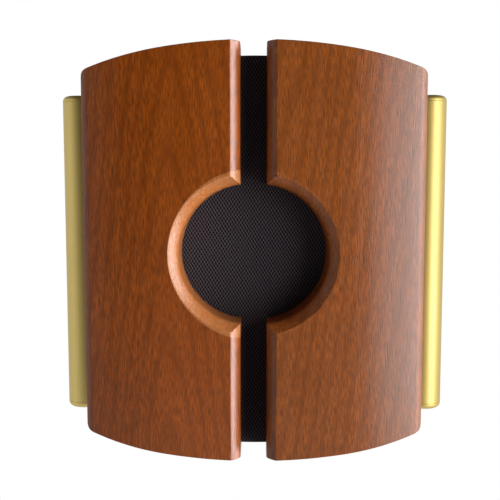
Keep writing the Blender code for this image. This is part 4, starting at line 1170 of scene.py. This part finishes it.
def switches(grey, black):
    for name in ("tune", "learn"):
        fine_copy(name + "_switch_body", name + "_switch_case", grey, 0.0002)
    low, high, middle, _ = extent("tune_switch_knob")
    grooves = []
    for i in (-1, 0, 1):
        x = middle.x + i * 0.0011
        grooves.append(box((x - 0.00025, low.y - 0.001, low.z - 0.001),
                           (x + 0.00025, high.y + 0.001, low.z + 0.0004)))
    crisp("tune_switch_knob_ribbed", box(low, high), black, "tune_switch_knob", [joined(grooves)], 0.00012)

    low, high, middle, half = extent("learn_button")
    radius = half.x
    profile = [(0, low.z + 0.0002), (radius * 0.6, low.z), (radius, low.z), (radius, high.z), (0, high.z)]
    red = plastic_material("button_red_moulded", (0.42, 0.018, 0.014), 0.38)
    spun("learn_button_domed", eased(profile, 0.0005, 5), red, "learn_button", "Z",
         (middle.x, middle.y, 0), 64)


# ---------------- leads
LEAD_RADIUS = 0.0006
RECEIVER_LEAD_RADIUS = 0.0008
OVER_BOARD = BOARD_TOP - 0.0011
NEAR_PLATE = -0.0068


def leads():
    """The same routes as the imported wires, drawn finer."""
    red = plastic_material("lead_red", (0.46, 0.012, 0.010), 0.36, 0.000005)
    black = plastic_material("lead_black", (0.012, 0.012, 0.012), 0.36, 0.000005)
    grey = plastic_material("lead_grey", (0.30, 0.30, 0.31), 0.40, 0.000005)

    def lead(node, route, material, radius=LEAD_RADIUS):
        round_wire(node + "_drawn", smooth_route(route), radius, material, node)

    for colour, material, x, z in (("red", red, -0.003, -0.0733), ("black", black, 0.003, -0.0499)):
        lead("battery_lead_" + colour, [
            (-0.0144, -0.0172, z), (-0.0105, -0.0168, z), (-0.0065, -0.0120, z), (0.0000, -0.0082, z),
            (0.0080, OVER_BOARD, z)], material)
        lead("speaker_lead_" + colour, [
            (x, -0.0250, -0.0272), (x + 0.0005, -0.0244, -0.0300), (x + 0.004, -0.0190, -0.0365),
            (x + 0.009, -0.0110, -0.0425), (x + 0.012, OVER_BOARD, -0.0490)], material)
    lead("receiver_lead", [
        (0.0250, OVER_BOARD, 0.0500), (0.0330, OVER_BOARD, 0.0440), (0.0420, NEAR_PLATE, 0.0300),
        (0.0450, NEAR_PLATE, 0.0000), (0.0430, NEAR_PLATE, -0.0250), (0.0370, OVER_BOARD, -0.0380),
        (0.0300, OVER_BOARD, -0.0470)], grey, RECEIVER_LEAD_RADIUS)


# ---------------- the whole object
RIM = 0.0055                    # the back plate's rim round its sunk field


def base_plate(black):
    """The wall side has a shallow field sunk inside a rim, a blank recess and round ejector marks."""
    _, high, middle, half = extent("base_plate")
    back, over = high.y, high.y + 0.001
    field = arched_outline(high.x - RIM, half.z - RIM, 0.004)
    mark = rod(0.0035, back - 0.0008, over)
    cuts = [prism([(x, z + middle.z) for x, z in field], back - 0.0005, over),
            box((-0.030, back - 0.0008, -0.013), (0.030, over, 0.013))]
    cuts += [turned(mark, 48, centre=(x, 0, z)) for x in (-0.056, 0.056) for z in (-0.078, -0.010, 0.086)]
    fine_copy("base_plate", "base_plate_moulded", black, 0.0003, cuts=cuts)


def build_front():
    # Left half: painted light on its outer side and a painted highlight tint on its round moulding.
    left = wood_material("stained_wood_left", seed=0.31, heart=(-0.043, -0.060), warm=(0.312, 0.068, 0.0043),
                         deep=(0.238, 0.050, 0.0030), outer_light_and_shade=1.35, moulding_light=0.50)
    # Right half: painted shade on its outer side, and no painted highlight on its moulding.
    right = wood_material("stained_wood_right", seed=0.77, heart=(0.130, 0.020), warm=(0.298, 0.077, 0.0095),
                          deep=(0.234, 0.058, 0.0065), outer_light_and_shade=0.60, moulding_light=0.0)
    wood_half(-1, "wooden_half_left", "wood_front_left", left)
    wood_half(1, "wooden_half_right", "wood_front_right", right)


def build_rest():
    black = plastic_material("moulded_black", (0.016, 0.016, 0.018), 0.52)
    wheel_black = plastic_material("wheel_black_moulded", (0.022, 0.022, 0.024), 0.45)
    grey = plastic_material("moulded_grey", (0.28, 0.28, 0.27), 0.48)
    steel = metal_material("zinc_plated_steel", (0.62, 0.63, 0.62), 0.32)
    copper = metal_material("lacquered_copper", (0.72, 0.33, 0.16), 0.28)
    fine_copy("cover_shell", "cover_shell_moulded", black, 0.0004, 3)
    grille_cloth()
    brass_tubes(brass_material())
    for node in ("left_upper", "left_lower", "right_upper", "right_lower"):
        fine_copy("tube_bracket_" + node, f"tube_bracket_{node}_moulded", black)
    screws(steel)
    base_plate(black)
    loudspeaker(steel)
    battery_compartment(steel, black)
    boards(steel, copper)
    volume_control(grey, wheel_black)
    switches(grey, wheel_black)
    leads()


# ---------------- stage
def white_surroundings():
    """White cloth around, a dark room in front and above.  The camera itself sees plain white."""
    world = bpy.data.worlds.new("studio")
    bpy.context.scene.world = world
    n = Nodes(world)
    n.tree.nodes.clear()
    direction = n.add("ShaderNodeTexCoord").outputs["Generated"]
    _, y, z = n.add("ShaderNodeSeparateXYZ", {"Vector": direction}).outputs
    cloth = n.remap(y, -0.90, -0.30, 0.0, 0.60, "SMOOTHSTEP")
    ceiling = n.remap(z, 0.35, 0.80, 1.0, 0.10, "SMOOTHSTEP")
    table = n.remap(z, -0.09, -0.47, 0.0, 0.60, "SMOOTHSTEP")
    surroundings = n.math("MAXIMUM", n.times(cloth, ceiling), table)
    seen = n.add("ShaderNodeLightPath").outputs["Is Camera Ray"]
    strength = n.add("ShaderNodeMix", {"Factor": seen, 2: surroundings, 3: 1.0}).outputs[0]
    sky = n.add("ShaderNodeBackground", {"Color": (1, 1, 1, 1), "Strength": strength}).outputs[0]
    n.add("ShaderNodeOutputWorld", {"Surface": sky})


def soft_light(name, azimuth, height, distance, size, radiance):
    """Square soft light to the right of the front by azimuth degrees, aimed at the object."""
    lamp = bpy.data.lights.new(name, "AREA")
    lamp.shape = "RECTANGLE"
    lamp.size, lamp.size_y = size
    lamp.energy = radiance * math.pi * size[0] * size[1]
    item = linked(name, lamp)
    turn = math.radians(azimuth)
    item.location = (distance * math.sin(turn), -distance * math.cos(turn), height)
    aim = Vector((0, -0.03, 0)) - item.location
    item.rotation_mode = "QUATERNION"
    item.rotation_quaternion = aim.to_track_quat("-Z", "Y")
    return item


def limit_light(lamp, pieces, state):
    """Makes the lamp shine on these pieces only (INCLUDE), or on all but these (EXCLUDE)."""
    group = bpy.data.collections.new(lamp.name + "_pieces")
    for piece in pieces:
        group.objects.link(piece)
    lamp.light_linking.receiver_collection = group
    for member in group.collection_objects:
        member.light_linking.link_state = state


def pale_floor():
    bm = bmesh.new()
    bmesh.ops.create_grid(bm, x_segments=1, y_segments=1, size=20)
    bmesh.ops.translate(bm, vec=(0, 0, -0.6), verts=bm.verts)
    white = bpy.data.materials.new("floor_white")
    n = Nodes(white)
    n.tree.nodes.clear()
    glow = n.add("ShaderNodeEmission", {"Color": (1, 1, 1, 1), "Strength": 1.0}).outputs[0]
    n.add("ShaderNodeOutputMaterial", {"Surface": glow})
    floor = from_bmesh("floor", bm, white)
    floor.visible_diffuse = False
    floor.visible_glossy = False
    floor.visible_shadow = False


def eye():
    """Camera a little above the middle, close to the object."""
    camera = linked("camera", bpy.data.cameras.new("camera"))
    camera.data.lens = 49.0
    camera.data.clip_start = 0.01
    camera.location = (0.00313, -0.3953, 0.03003)
    camera.rotation_euler = (math.radians(90 - 4.67), 0, math.radians(0.82))
    bpy.context.scene.camera = camera


def build_stage():
    bpy.context.scene.view_settings.view_transform = "Standard"
    white_surroundings()
    soft_light("front_right_panel", 45.5, -0.05, 1.0, (0.60, 0.85), 4.2)
    window = soft_light("side_window", 78.5, 0.0, 1.0, (0.67, 1.10), 12.0)
    wall = soft_light("pale_wall", -50.0, 0.0, 1.0, (0.80, 1.20), 0.38)
    tubes = [item for item in bpy.data.objects if item.get("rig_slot") == "satin_brass"]
    limit_light(window, tubes, "EXCLUDE")
    limit_light(wall, tubes, "INCLUDE")
    pale_floor()
    eye()


build_front()
build_rest()
build_stage()
